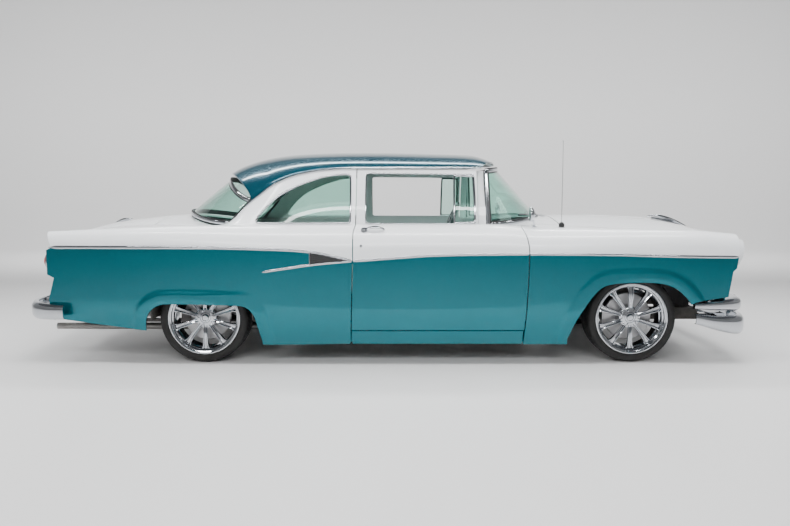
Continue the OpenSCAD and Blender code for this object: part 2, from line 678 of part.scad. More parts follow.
floor_t = 13;
kick_x = xr + 600;
trunk_floor = floor_h + 200;
tunnel_w = 110;
tunnel_h = tyre_r + 99;
house_w = rear_track / 2 - tyre_w / 2 - 44;
module floor_pan() {
    side = half_w - 236;
    color([0.2, 0.22, 0.22]) {
        difference() {
            block([kick_x - 20, -side, floor_h - floor_t], [door_front + 176, side, floor_h]);
            block([kick_x - 40, -tunnel_w + 8, 0], [door_front + 200, tunnel_w - 8, floor_h + 20]);
        }
        difference() {
            block([kick_x - 20, -tunnel_w, floor_h - floor_t], [door_front + 176, tunnel_w, tunnel_h]);
            block([kick_x - 60, -tunnel_w + 8, 0], [door_front + 200, tunnel_w - 8, tunnel_h - 8]);
        }
        difference() {
            block([kick_x - 33, -side, floor_h - floor_t], [kick_x - 20, side, trunk_floor]);
            block([kick_x - 60, -tunnel_w + 8, 0], [kick_x, tunnel_w - 8, tunnel_h - 8]);
        }
        block([xr + 362, -side, trunk_floor - floor_t], [kick_x - 20, side, trunk_floor]);
        block([xr - 362, -house_w + seat_gap, trunk_floor - floor_t], [xr + 362, house_w - seat_gap, trunk_floor]);
        block([quarter_rear + 84, -side, trunk_floor - floor_t], [xr - 362, side, trunk_floor]);
    }
}

module rocker_panels() {
    color([0.06, 0.45, 0.5]) both_sides() {
        intersection() {
            loft([for (x = steps(door_rear - 16, door_front - 20, 5))
                wall_ring(x, side_points(x, rocker_h, 4), 0, 60)]);
            block([door_rear - 30, 0, rocker_h - 1], [door_front, half_w, door_low - panel_gap]);
        }
        block([xr + 430, half_w - 236 + seat_gap, rocker_h + 4], [door_front + 170, half_w - 136, rocker_h + 84]);
        block([xr + 430, half_w - 236 + seat_gap, rocker_h + 4], [door_front + 170, half_w - 164, floor_h]);
    }
}

// Arched walls over the rear tyres
module wheelhouses() {
    r = tyre_r + 36;
    house_out = half_w - wall_t - 17;
    color([0.12, 0.13, 0.13]) both_sides() difference() {
        union() {
            translate([xr, house_w, tyre_r]) rotate([-90, 0, 0]) cylinder(r = r + 6, h = house_out - house_w);
            block([xr - r - 6, house_w, tyre_r], [xr + r + 6, house_out, tyre_r + 1]);
        }
        translate([xr, house_w + 6, tyre_r]) rotate([-90, 0, 0]) cylinder(r = r, h = 400);
        block([xr - 500, 0, -200], [xr + 500, half_w + 60, tyre_r]);
        block([xr - 90, 0, 0], [xr + 90, house_w + 20, tyre_r + 80]);
    }
}
module inner_fenders() {
    bay = front_track / 2 - kingpin_in - 200;
    top = 2 * tyre_r + 84;
    x0 = door_front + 190 + seat_gap;
    pad = hood_z(hood_rear + 87, hood_hw) - panel_t - 0.6;
    color([0.12, 0.13, 0.13]) both_sides() {
        block([x0, bay, tyre_r + 170], [hood_front - 160, bay + 6, top]);
        block([x0, bay, top - 6], [hood_front - 160, hood_hw + 14, top]);
        block([x0, hood_hw + 8, top - 6], [hood_front - 160, hood_hw + 14, sill_h - 130]);
        block([x0, bay, tyre_r + 170], [x0 + 6, half_w - 190, top]);
        block([hood_rear + 47, hood_hw - 30, pad - 14], [hood_rear + 87, hood_hw + 14, pad]);
        block([hood_rear + 47, hood_hw + 8, sill_h - 140], [hood_rear + 87, hood_hw + 14, pad]);
    }
}

// Frame: two rails that narrow past both axles and climb over the rear one
rail_w = 66;
mid_y = half_w - 372;
fore_y = front_track / 2 - kingpin_in - 306;
aft_y = house_w - 110;
rail_top = floor_h - floor_t - seat_gap;
rail_low = rail_top - 96;
fore_top = rail_low + 148;
kick_high = tyre_r + 56;
cross_low = rail_top - 58;
module rail_plan() {
    polygon([
        [rear_x + 255, aft_y], [xr + 420, aft_y], [xr + 560, mid_y], [xf - 640, mid_y],
        [xf - 380, fore_y], [front_x - 220, fore_y], [front_x - 220, fore_y + rail_w],
        [xf - 350, fore_y + rail_w], [xf - 610, mid_y + rail_w], [xr + 530, mid_y + rail_w],
        [xr + 390, aft_y + rail_w], [rear_x + 255, aft_y + rail_w]
    ]);
}
module chassis_frame() {
    color([0.1, 0.1, 0.11]) {
        both_sides() intersection() {
            linear_extrude(700) rail_plan();
            side_cut([
                [rear_x + 255, kick_high - 40], [xr - 420, kick_high - 40], [xr - 320, kick_high],
                [xr + 360, kick_high], [xr + 600, rail_low], [xf - 500, rail_low],
                [xf - 380, rail_low + 60], [front_x - 220, rail_low + 60], [front_x - 220, fore_top],
                [xf - 400, fore_top], [xf - 540, rail_top], [xr + 560, rail_top],
                [xr + 340, kick_high + 88], [xr - 350, kick_high + 88], [xr - 450, kick_high + 48],
                [rear_x + 255, kick_high + 48]
            ]);
        }
        block([front_x - 300, -fore_y - 1, rail_low + 66], [front_x - 240, fore_y + 1, rail_low + 140]);
        block([xf - 60, -fore_y - 1, rail_low + 62], [xf + 60, fore_y + 1, rail_low + 90]);
        block([xf - 760, -mid_y - 1, cross_low], [xf - 690, mid_y + 1, rail_top]);
        block([xr + 1300, -mid_y - 1, cross_low], [xr + 1370, mid_y + 1, rail_top]);
        block([xr + 640, -mid_y - 1, cross_low], [xr + 710, mid_y + 1, rail_top]);
        block([xr - 420, -aft_y - 1, kick_high - 20], [xr - 360, aft_y + 1, kick_high + 40]);
        block([rear_x + 260, -aft_y - 1, kick_high - 30], [rear_x + 300, aft_y + 1, kick_high + 40]);
    }
}

// ---- Bumpers, grille and lamps ----

// Ring of a bright bar: it stands on the plan point p, faces along n and is h high
function bar_ring(p, n, z, h, bulge, t) = concat(
    [for (k = [-1, -0.8, -0.35, 0.35, 0.8, 1])
        [p[0] + n[0] * bulge * (1 - pow(k, 4)), p[1] + n[1] * bulge * (1 - pow(k, 4)), z + k * h / 2]],
    [for (k = [1, 0.8, 0.35, -0.35, -0.8, -1])
        [p[0] + n[0] * (bulge * (1 - pow(k, 4)) - t), p[1] + n[1] * (bulge * (1 - pow(k, 4)) - t), z + k * h / 2]]
);
// Bar along the plan points, with [height, depth, bulge] for each
module bar(path, marks, t) {
    n = len(path);
    loft([for (i = [0 : n - 1])
        let (
            d = path[min(i + 1, n - 1)] - path[max(i - 1, 0)],
            e = d / norm(d)
        )
        bar_ring(path[i], [-e[1], e[0]], marks[i][0], marks[i][1], marks[i][2], t)]);
}
front_half = [
    [front_x - 26, 0], [front_x - 27, 200], [front_x - 30, 420], [front_x - 38, 600], [front_x - 60, 740],
    [front_x - 120, half_w - 112], [front_x - 210, half_w - 58], [front_x - 320, half_w - 32],
    [front_x - 448, half_w - 24]
];
front_marks = [
    [262, 137, 26], [262, 137, 26], [262, 137, 26], [262, 137, 26], [263, 136, 26], [266, 134, 26],
    [276, 118, 26], [292, 92, 22], [318, 66, 16]
];
rear_half = [
    [rear_x + 26, 0], [rear_x + 27, 200], [rear_x + 30, 420], [rear_x + 36, 600], [rear_x + 62, 740],
    [rear_x + 130, half_w - 104], [rear_x + 220, half_w - 48], [rear_x + 345, half_w - 26]
];
rear_marks = [
    [366, 112, 26], [366, 112, 26], [366, 112, 26], [366, 112, 26], [366, 114, 26], [366, 116, 26],
    [365, 110, 24], [364, 100, 20]
];
function mirrored(p) = concat(
    [for (i = [len(p) - 1 : -1 : 1]) [p[i][0], -p[i][1]]],
    p
);
function same(p) = concat([for (i = [len(p) - 1 : -1 : 1]) p[i]], p);
module front_bumper() {
    color([0.8, 0.81, 0.83]) {
        bar(backwards(mirrored(front_half)), same(front_marks), 10);
        both_sides() {
            block([front_x - 220 + seat_gap, fore_y + 4, 250], [front_x - 14.4, fore_y + 60, 276]);
        }
    }
}
module rear_bumper() {
    color([0.8, 0.81, 0.83]) {
        bar(mirrored(rear_half), same(rear_marks), 10);
        both_sides() block([rear_x + 18.7, aft_y + 4, 350], [rear_x + 255 - seat_gap, aft_y + 60, 382]);
    }
}
// Parking lamps' pods above the front bumper
module parking_lights() {
    path = [
        [front_x - 150, half_w - 540], [front_x - 104, half_w - 470], [front_x - 78, half_w - 380],
        [front_x - 80, half_w - 280], [front_x - 110, half_w - 190], [front_x - 190, half_w - 120],
        [front_x - 310, half_w - 74], [front_x - 446, half_w - 52]
    ];
    marks = [
        [404, 60, 22], [402, 84, 30], [399, 98, 34], [398, 100, 34], [398, 98, 34],
        [399, 88, 28], [400, 64, 18], [400, 34, 8]
    ];
    color([0.8, 0.81, 0.83]) both_sides() {
        bar(backwards(path), backwards(marks), 34);
        block([hood_front - 94, half_w - 420, 380], [front_x - 96, half_w - 380, 420]);
        block([hood_front - 94, half_w - 420, 380], [hood_front - 80, half_w - 380, 472 - seat_gap]);
    }
}
module grille() {
    w = half_w - 364;
    color([0.75, 0.76, 0.78]) {
        for (z = [472, 512, 552]) block([hood_front - 96, -w, z], [hood_front - 78, w, z + 14]);
        for (y = [-w, -w / 2, 0, w / 2, w - 12]) block([hood_front - 92, y, 474], [hood_front - 82, y + 12, 612]);
        block([hood_front - 96, -w, 604], [hood_front - 43, w, sill_h - 329 - seat_gap]);
    }
}
module headlights() {
    x = fender_front - 96;
    color([0.86, 0.87, 0.88]) both_sides() translate([x, lamp_y, lamp_h]) rotate([0, 90, 0]) difference() {
        cylinder(r = lamp_r - 6, h = 186);
        translate([0, 0, 120]) cylinder(r = lamp_r - 22, h = 100);
        translate([200, 0, 150]) rotate([0, 26, 0]) cube([400, 400, 200], center = true);
    }
}
module taillights() {
    x = quarter_rear + 66;
    color([0.7, 0.08, 0.06]) both_sides() translate([x, lamp_back_y, lamp_back_h]) rotate([0, -90, 0]) {
        cylinder(r = lamp_back_r - 12, h = 60);
        translate([0, 0, 44]) cylinder(r1 = lamp_back_r, r2 = lamp_back_r - 14, h = 78);
    }
}

// ---- Cabin ----

column_lean = 24;
wheel_x = pillar_x - 135;
wheel_z = sill_h - 56;
module on_column() {
    translate([wheel_x, driver_y, wheel_z]) rotate([0, 90 + column_lean, 0]) children();
}
module dashboard() {
    color([0.08, 0.35, 0.38]) {
        block(
            [pillar_x + 150, 232 + seat_gap - half_w, sill_h - 290],
            [door_front + 100, half_w - 232 - seat_gap, sill_h - 60 - seat_gap]
        );
        on_column() translate([0, 0, 60]) cylinder(r = 28, h = 500);
        on_column() translate([0, 0, 60]) cylinder(r = 36, h = 120);
    }
}
module steering_wheel() {
    color([0.12, 0.14, 0.15]) on_column() {
        rotate_extrude() translate([wheel_r - 14, 0]) circle(13, $fn = 24);
        cylinder(r = 34, h = 60 - seat_gap);
        for (a = [0, 180]) rotate([0, 0, a + 90]) translate([20, -14, 2]) cube([wheel_r - 36, 28, 12]);
        rotate([0, 0, 180]) translate([20, -12, 2]) cube([wheel_r - 36, 24, 12]);
    }
}
module front_seat() {
    w = half_w - 270;
    color([0.75, 0.77, 0.76]) {
        side_cut([[-40, seat_h - 130], [440, seat_h - 120], [470, seat_h - 60], [440, seat_h - 8],
            [250, seat_h], [-20, seat_h - 30]], -w, w);
        side_cut([[-60, seat_h - 120], [60, seat_h - 120], [20, seat_h + 160], [-60, seat_h + 330],
            [-110, seat_h + 344], [-150, seat_h + 320], [-150, seat_h + 120]], -w, w);
        both_sides() block([-20, 250, floor_h + 0.3], [380, 300, seat_h - 110]);
    }
}
module rear_seat() {
    w = house_w + 20;
    color([0.75, 0.77, 0.76]) {
        side_cut([[kick_x - 19, seat_h - 148], [kick_x + 400, seat_h - 140], [kick_x + 430, seat_h - 70],
            [kick_x + 400, seat_h - 30], [kick_x, seat_h - 40]], -w, w);
        side_cut([[kick_x - 120, trunk_floor + seat_gap], [kick_x + 20, trunk_floor + seat_gap], [kick_x - 40, seat_h + 200],
            [kick_x - 110, seat_h + 300], [kick_x - 190, seat_h + 300], [kick_x - 210, seat_h + 200]], -w, w);
        both_sides() block([kick_x + 20, tunnel_w + 30, floor_h + seat_gap], [kick_x + 380, w - 60, seat_h - 130]);
    }
}

// ---- Wheels and running gear ----

front_wheel_y = front_track / 2;
rear_wheel_y = rear_track / 2;
half_rim = tyre_w / 2 - 4;
module at_wheel(x, y) { translate([x, y, tyre_r]) rotate([-90, 0, 0]) children(); }

// Rim section: z runs outward from the wheel's middle
module rim_ring() {
    h = half_rim;
    rotate_extrude($fn = 72) polygon([
        [rim_r - 2, -h], [rim_r, -h + 5], [rim_r - 10, -h + 14], [rim_r - 12, -h + 40], [rim_r - 30, -h + 66],
        [rim_r - 30, h - 62], [rim_r - 12, h - 40], [rim_r - 10, h - 14], [rim_r, h - 5], [rim_r - 2, h],
        [rim_r - 12, h], [rim_r - 20, h - 12], [rim_r - 22, h - 38], [rim_r - 40, h - 62],
        [rim_r - 40, -h + 64], [rim_r - 22, -h + 38], [rim_r - 18, -h + 12], [rim_r - 12, -h]
    ]);
}
module wheel() {
    h = half_rim;
    face = h - dish;
    hub_r = 76;
    rim_ring();
    difference() {
        union() {
            translate([0, 0, face - 34]) cylinder(r = hub_r, h = 34);
            translate([0, 0, face - 34]) cylinder(r = 30, h = 50);
        }
        for (a = [0 : 72 : 288]) rotate([0, 0, a]) translate([50, 0, face - 20]) cylinder(r = 11, h = 30);
    }
    for (i = [0 : spoke_count - 1]) rotate([0, 0, i * 360 / spoke_count]) {
        for (s = [-1, 1]) translate([60, s * 13 - 6, face - 30]) cube([rim_r - 97, 12, 24]);
    }
    translate([0, 0, -hub_back]) cylinder(r = 62, h = face - 33 + hub_back);
    translate([0, 0, -22]) cylinder(r = disc_r, h = 24);
}
module tyre() {
    h = tyre_w / 2;
    g = seat_gap;
    b = half_rim;
    rotate_extrude($fn = 96) polygon([
        [tyre_r - 12, -h + 12], [tyre_r - 3, -h + 24], [tyre_r, -h + 44], [tyre_r, h - 44], [tyre_r - 3, h - 24],
        [tyre_r - 12, h - 12], [tyre_r - 34, h], [rim_r + 6, h - 2], [rim_r + g, b - 5 - g],
        [rim_r - 10 + g, b - 14 - g], [rim_r - 12 + g, b - 40], [rim_r + 8, b - 56],
        [rim_r + 8, -b + 56], [rim_r - 12 + g, -b + 40], [rim_r - 10 + g, -b + 14 + g], [rim_r + g, -b + 5 + g],
        [rim_r + 6, -h + 2], [tyre_r - 34, -h]
    ]);
}
module wheel_front_left() { color([0.8, 0.81, 0.83]) at_wheel(xf, front_wheel_y) wheel(); }
module wheel_front_right() { color([0.8, 0.81, 0.83]) at_right() at_wheel(xf, front_wheel_y) wheel(); }
module wheel_rear_left() { color([0.8, 0.81, 0.83]) at_wheel(xr, rear_wheel_y) wheel(); }
module wheel_rear_right() { color([0.8, 0.81, 0.83]) at_right() at_wheel(xr, rear_wheel_y) wheel(); }
module tyre_front_left() { color([0.1, 0.1, 0.1]) at_wheel(xf, front_wheel_y) tyre(); }
module tyre_front_right() { color([0.1, 0.1, 0.1]) at_right() at_wheel(xf, front_wheel_y) tyre(); }
module tyre_rear_left() { color([0.1, 0.1, 0.1]) at_wheel(xr, rear_wheel_y) tyre(); }
module tyre_rear_right() { color([0.1, 0.1, 0.1]) at_right() at_wheel(xr, rear_wheel_y) tyre(); }

// Brake caliper that straddles the disc with room on every side, and its arm from the spindle
hub_back = 46;
module caliper(y) {
    difference() {
        block([-disc_r - 14, y - 36, -52], [-disc_r + 52, y + 16, 52]);
        block([-disc_r - 8, y - 30, -60], [-disc_r + 80, y + 10, 60]);
    }
    block([-disc_r + 10, y - 60, -14], [-disc_r + 40, y - 34, 14]);
    block([-disc_r + 10, y - hub_back - 26, -14], [0, y - hub_back - 8, 14]);
}
kingpin_y = front_wheel_y - kingpin_in;
module knuckle() {
    translate([xf, 0, tyre_r]) {
        translate([0, kingpin_y, -104 + seat_gap]) cylinder(r = 20, h = 208 - 2 * seat_gap);
        along_y(24, kingpin_y - 4, front_wheel_y - hub_back - seat_gap);
        caliper(front_wheel_y);
        block([-110, kingpin_y - 14, -60], [0, kingpin_y + 14, -44]);
    }
}
module knuckle_left() { color([0.35, 0.35, 0.36]) knuckle(); }
module knuckle_right() { color([0.35, 0.35, 0.36]) at_right() knuckle(); }

module front_suspension() {
    color([0.2, 0.2, 0.21]) both_sides() {
        for (z = [tyre_r - 116, tyre_r + 104]) hull() {
            translate([xf, kingpin_y, z]) cylinder(r = 20, h = 12);
            block([xf - 90, fore_y + 20, z], [xf - 70, fore_y + 50, z + 12]);
            block([xf + 70, fore_y + 20, z], [xf + 90, fore_y + 50, z + 12]);
        }
        translate([xf, fore_y + 33, tyre_r - 106]) cylinder(r = 26, h = rail_low + 60 - seat_gap - tyre_r + 106);
        translate([xf, fore_y + 33, fore_top + seat_gap]) cylinder(r = 24, h = tyre_r + 106 - fore_top);
    }
}
module rear_axle() {
    color([0.16, 0.16, 0.17]) {
        translate([xr, 0, tyre_r]) {
            along_y(36, -rear_wheel_y + hub_back + seat_gap, rear_wheel_y - hub_back - seat_gap);
            rotate([0, 90, 0]) cylinder(r = 105, h = 130, center = true);
            both_sides() caliper(rear_wheel_y);
        }
        both_sides() {
            block([xr - 640, aft_y + 8, tyre_r - 76], [xr + 560, aft_y + 58, tyre_r - 56]);
            block([xr - 640, aft_y + 8, tyre_r - 60], [xr - 620, aft_y + 58, kick_high - 40 - seat_gap]);
            block([xr - 40, aft_y + 8, tyre_r - 60], [xr + 40, aft_y + 58, tyre_r]);
        }
    }
}
module engine() {
    color([0.3, 0.34, 0.34]) {
        block([xf - 440, -210, rail_low + 90 + seat_gap], [xf + 130, 210, 560]);
        both_sides() block([xf - 430, 90, 540], [xf + 110, 260, 660]);
        translate([xf - 170, 0, 540]) cylinder(r = 130, h = 250);
        block([xf + 120, -130, 330], [xf + 200, 130, 600]);
    }
    color([0.1, 0.1, 0.1])
        block([front_x - 296, -310, rail_low + 140 + seat_gap], [front_x - 250, 310, sill_h - 170]);
}
module driveline() {
    color([0.25, 0.25, 0.26]) {
        translate([0, 0, tyre_r]) {
            along_x(84, xf - 675, xf - 440 - seat_gap);
            along_x(36, xr + 65 + seat_gap, xf - 670);
        }
    }
}
module exhaust() {
    pipe_y = 420;
    pipe_z = cross_low - 24 - seat_gap;
    down_x = door_front + 216;
    color([0.55, 0.56, 0.57]) both_sides() {
        translate([0, pipe_y, pipe_z]) {
            along_x(24, rear_x + 66, down_x + 24);
            along_x(42, xr + 760, xr + 1260);
        }
        translate([down_x, pipe_y, pipe_z - 10]) cylinder(r = 22, h = 252);
        translate([0, pipe_y, pipe_z + 220]) along_x(24, down_x - 20, xf - 360);
        translate([xf - 384, 0, pipe_z + 220]) along_y(22, 210 + seat_gap, pipe_y + 20);
    }
}
module fuel_tank() {
    color([0.2, 0.2, 0.2]) block([rear_x + 330, -360, tyre_r - 70], [xr - 440, 360, trunk_floor - floor_t - seat_gap]);
}
antenna_y = half_w - 190;
module antenna() {
    base_z = shoulder_z(door_front + 229) + 3.3;
    color([0.7, 0.71, 0.72]) at_right() translate([door_front + 251, antenna_y, 0]) {
        translate([0, 0, base_z]) cylinder(r = 22, h = 36);
        translate([0, 0, base_z]) cylinder(r = 2.5, h = roof_h + 54 - base_z);
    }
}

chassis_frame();
floor_pan();
cowl();
roof();
rear_deck();
tail_panel();
nose_panel();
rocker_panels();
front_fender_right();
front_fender_left();
quarter_panel_right();
quarter_panel_left();
inner_fenders();
wheelhouses();
hood();
trunk_lid();
door_right();
door_left();
vent_window_right();
vent_window_left();
windshield();
rear_window();
quarter_glass();
front_bumper();
rear_bumper();
grille();
parking_lights();
headlights();
taillights();
dashboard();
steering_wheel();
front_seat();
rear_seat();
wheel_front_right();
wheel_front_left();
wheel_rear_right();
wheel_rear_left();
tyre_front_right();
tyre_front_left();
tyre_rear_right();
tyre_rear_left();
knuckle_right();
knuckle_left();
front_suspension();
rear_axle();
engine();
driveline();
exhaust();
fuel_tank();
antenna();
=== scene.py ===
"""Looks of a two-tone, lowered two-door sedan of the 1950s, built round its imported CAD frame.

Lengths are in millimetres, with x forward, y to the left and z up from the ground, and they
become metres where a mesh is made. Each sub-assembly is a class that builds and dresses its
own pieces, and main() builds them in order.
"""

import logging
import math
from dataclasses import dataclass, field
from enum import Enum
from typing import Callable, Sequence

import bmesh
import bpy
import numpy as np
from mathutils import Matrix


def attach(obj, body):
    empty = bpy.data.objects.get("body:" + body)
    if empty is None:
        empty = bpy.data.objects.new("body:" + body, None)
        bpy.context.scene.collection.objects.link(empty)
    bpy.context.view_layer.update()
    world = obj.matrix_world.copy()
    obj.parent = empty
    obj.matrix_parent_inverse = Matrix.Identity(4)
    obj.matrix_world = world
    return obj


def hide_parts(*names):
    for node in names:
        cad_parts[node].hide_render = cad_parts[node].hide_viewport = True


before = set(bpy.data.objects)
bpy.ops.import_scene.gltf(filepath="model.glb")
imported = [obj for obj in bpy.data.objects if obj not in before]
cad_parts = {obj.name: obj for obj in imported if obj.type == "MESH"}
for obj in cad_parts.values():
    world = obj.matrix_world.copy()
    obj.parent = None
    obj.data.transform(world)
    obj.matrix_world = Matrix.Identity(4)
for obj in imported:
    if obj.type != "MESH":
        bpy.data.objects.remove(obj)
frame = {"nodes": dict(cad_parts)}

LOG = logging.getLogger("sedan")
METRE = 0.001
HALF_WIDTH = 964.0
PANE_HALF, PANE_CURVE = 754, 1.75 / 2
LAMP_Y, LAMP_Z = 772, 754
SKIN_LIMIT = HALF_WIDTH - 3.6


class Side(Enum):
    """The car's two sides, as the sign of y."""

    LEFT = 1
    RIGHT = -1

    @property
    def word(self) -> str:
        """The side's name as the CAD nodes spell it."""
        return self.name.lower()


# ---- Curves and surfaces -------------------------------------------------------------------


class Curve:
    """Cubic curve through [x, value] points, held level past its ends.

    Each slope is the rise over the run between a point's two neighbours.
    """

    def __init__(self, points: Sequence[Sequence[float]]) -> None:
        """Stores the points and works out the slopes."""
        p = np.asarray(points, float)
        self.x, self.v = p[:, 0], p[:, 1]
        self.slope = np.empty(len(p))
        self.slope[1:-1] = (self.v[2:] - self.v[:-2]) / (self.x[2:] - self.x[:-2])
        self.slope[0] = (self.v[1] - self.v[0]) / (self.x[1] - self.x[0])
        self.slope[-1] = (self.v[-1] - self.v[-2]) / (self.x[-1] - self.x[-2])

    def __call__(self, x: np.ndarray) -> np.ndarray:
        """Value of the curve at each x."""
        c = np.clip(x, self.x[0], self.x[-1])
        i = np.clip(np.searchsorted(self.x, c, side="right") - 1, 0, len(self.x) - 2)
        h = self.x[i + 1] - self.x[i]
        t = (c - self.x[i]) / h
        return (
            (2 * t**3 - 3 * t**2 + 1) * self.v[i]
            + (t**3 - 2 * t**2 + t) * h * self.slope[i]
            + (3 * t**2 - 2 * t**3) * self.v[i + 1]
            + (t**3 - t**2) * h * self.slope[i + 1]
        )


def blend_in(low: float, high: float, x: np.ndarray) -> np.ndarray:
    """Smooth step: 0 below low, 1 above high, 3t^2 - 2t^3 between."""
    t = np.clip((x - low) / (high - low), 0, 1)
    return t * t * (3 - 2 * t)


def through(points: Sequence[Sequence[float]], count: int, closed: bool = False) -> np.ndarray:
    """Smooth path through points, spread evenly by the distance along their chords.

    Args:
        points: Corner points of the path.
        count: Number of points wanted.
        closed: True for a loop.

    Returns:
        Points of the path, one row each.
    """
    p = np.asarray(points, float)
    if closed:
        p = np.vstack([p[-2:], p, p[:3]])
    s = np.concatenate([[0], np.cumsum(np.linalg.norm(np.diff(p, axis=0), axis=1))])
    t = np.linspace(s[2], s[-3], count, endpoint=False) if closed else np.linspace(s[0], s[-1], count)
    return np.stack([Curve(np.stack([s, p[:, k]], 1))(t) for k in range(p.shape[1])], 1)


def unit(v: np.ndarray) -> np.ndarray:
    """Vectors scaled to length 1 along their last axis."""
    return v / np.maximum(np.linalg.norm(v, axis=-1, keepdims=True), 1e-9)


@dataclass
class Shape:
    """A closed or open surface: points in millimetres and blocks of equal-sided faces."""

    points: np.ndarray
    faces: list

    def volume(self) -> float:
        """Signed volume inside the faces: the sum over their triangles of a . (b x c) / 6."""
        total = 0.0
        for block in self.faces:
            a = self.points[block[:, 0]]
            for k in range(1, block.shape[1] - 1):
                b, c = self.points[block[:, k]], self.points[block[:, k + 1]]
                total += float(np.einsum("ij,ij->", a, np.cross(b, c))) / 6
        return total

    def outward(self) -> "Shape":
        """The same shape with its faces turned to point out."""
        if self.volume() < 0:
            self.faces = [block[:, ::-1] for block in self.faces]
        return self

    def mirrored(self) -> "Shape":
        """The shape's mirror image across the car's middle."""
        return Shape(self.points * [1, -1, 1], [block[:, ::-1] for block in self.faces])

    def on(self, side: Side) -> "Shape":
        """A left-hand shape, moved to the side asked for."""
        return self if side is Side.LEFT else self.mirrored()


def joined(shapes: Sequence[Shape]) -> Shape:
    """Several shapes as one, their points numbered in turn."""
    points, faces, start = [], [], 0
    for s in shapes:
        points.append(s.points)
        faces += [block + start for block in s.faces]
        start += len(s.points)
    return Shape(np.vstack(points), faces)


def grid_faces(rows: int, columns: int, wrap_rows: bool = False, wrap_columns: bool = False) -> np.ndarray:
    """Quads between neighbours of a rows x columns grid, joined end to start where it wraps."""
    i = np.arange(rows if wrap_rows else rows - 1)[:, None]
    j = np.arange(columns if wrap_columns else columns - 1)[None, :]
    a, b = i * columns + j, i * columns + (j + 1) % columns
    c, d = (i + 1) % rows * columns + (j + 1) % columns, (i + 1) % rows * columns + j
    return np.stack([a, b, c, d], -1).reshape(-1, 4)


def grid_normals(p: np.ndarray) -> np.ndarray:
    """Unit normals of a grid of points: the cross product of its two directions."""
    return unit(np.cross(np.gradient(p, axis=0), np.gradient(p, axis=1)))


def between(outer: np.ndarray, inner: np.ndarray) -> Shape:
    """Closed wall between two grids of the same size, with rims round its four edges."""
    rows, columns = outer.shape[:2]
    n = rows * columns
    sheet = grid_faces(rows, columns)
    edge = np.concatenate([
        np.arange(columns),
        np.arange(1, rows) * columns + columns - 1,
        (rows - 1) * columns + np.arange(columns - 2, -1, -1),
        np.arange(rows - 2, 0, -1) * columns,
    ])
    after = np.roll(edge, -1)
    rim = np.stack([edge, edge + n, after + n, after], 1)
    points = np.vstack([outer.reshape(-1, 3), inner.reshape(-1, 3)])
    return Shape(points, [sheet, sheet[:, ::-1] + n, rim]).outward()


def shell(p: np.ndarray, thick: float, middle: Sequence[float] = (0, 0, 500)) -> Shape:
    """Closed sheet of even thickness under a grid, laid on the side nearer the middle.

    The inner grid is the outer one moved along its normals; only the middle's y and z count,
    because its x is taken at the grid's own centre.
    """
    n = grid_normals(p)
    centre = np.array([p[..., 0].mean(), middle[1], middle[2]])
    if np.einsum("ijk,ijk->", n, p - centre) < 0:
        n = -n
    return between(p, p - n * thick)


def sweep(
    path: np.ndarray,
    up: np.ndarray,
    profile: np.ndarray,
    size: np.ndarray | float = 1.0,
    closed: bool = False,
) -> Shape:
    """Carries a closed profile along a path.

    At each point the profile's first axis lies across the path and its second along the up
    vector, made square to the path; size scales the section at each point.

    Args:
        path: Points of the path.
        up: One up vector, or one for each point.
        profile: Closed outline, as [across, up] rows.
        size: One scale, or one (or an across and up pair) for each point.
        closed: True where the path is a loop.

    Returns:
        The closed tube or bar.
    """
    n = len(path)
    if closed:
        t = unit(np.roll(path, -1, 0) - np.roll(path, 1, 0))
    else:
        t = unit(np.gradient(path, axis=0))
    u = np.broadcast_to(np.asarray(up, float), path.shape)
    u = unit(u - np.einsum("ij,ij->i", u, t)[:, None] * t)
    a = np.cross(t, u)
    scale = np.asarray(size, float)
    scale = np.broadcast_to(scale[:, None] if scale.ndim == 1 else scale, (n, 2))
    m = len(profile)
    p = (
        path[:, None]
        + (profile[None, :, 0] * scale[:, None, 0])[..., None] * a[:, None]
        + (profile[None, :, 1] * scale[:, None, 1])[..., None] * u[:, None]
    )
    faces = [grid_faces(n, m, closed, True)]
    if not closed:
        faces += [np.arange(m)[None, ::-1], ((n - 1) * m + np.arange(m))[None, :]]
    return Shape(p.reshape(-1, 3), faces).outward()


def circle(radius: float, sides: int = 12) -> np.ndarray:
    """Points of a circle, as [across, up] rows."""
    a = np.arange(sides) * 2 * math.pi / sides
    return radius * np.stack([np.cos(a), np.sin(a)], 1)


def rounded(width: float, height: float, power: float = 4.0, sides: int = 20) -> np.ndarray:
    """Rounded rectangle: the superellipse |x/w|^p + |y/h|^p = 1."""
    a = np.arange(sides) * 2 * math.pi / sides
    c, s = np.cos(a), np.sin(a)
    return np.stack([
        width / 2 * np.sign(c) * np.abs(c) ** (2 / power),
        height / 2 * np.sign(s) * np.abs(s) ** (2 / power),
    ], 1)


def half_round(width: float, height: float, sides: int = 9) -> np.ndarray:
    """Moulding section: a flat back and a round face, 2 below the surface it lies on."""
    a = np.linspace(0, math.pi, sides)
    face = np.stack([width / 2 * np.cos(a), height * np.sin(a)], 1)
    return np.vstack([face, [[-width / 2, -2], [width / 2, -2]]])


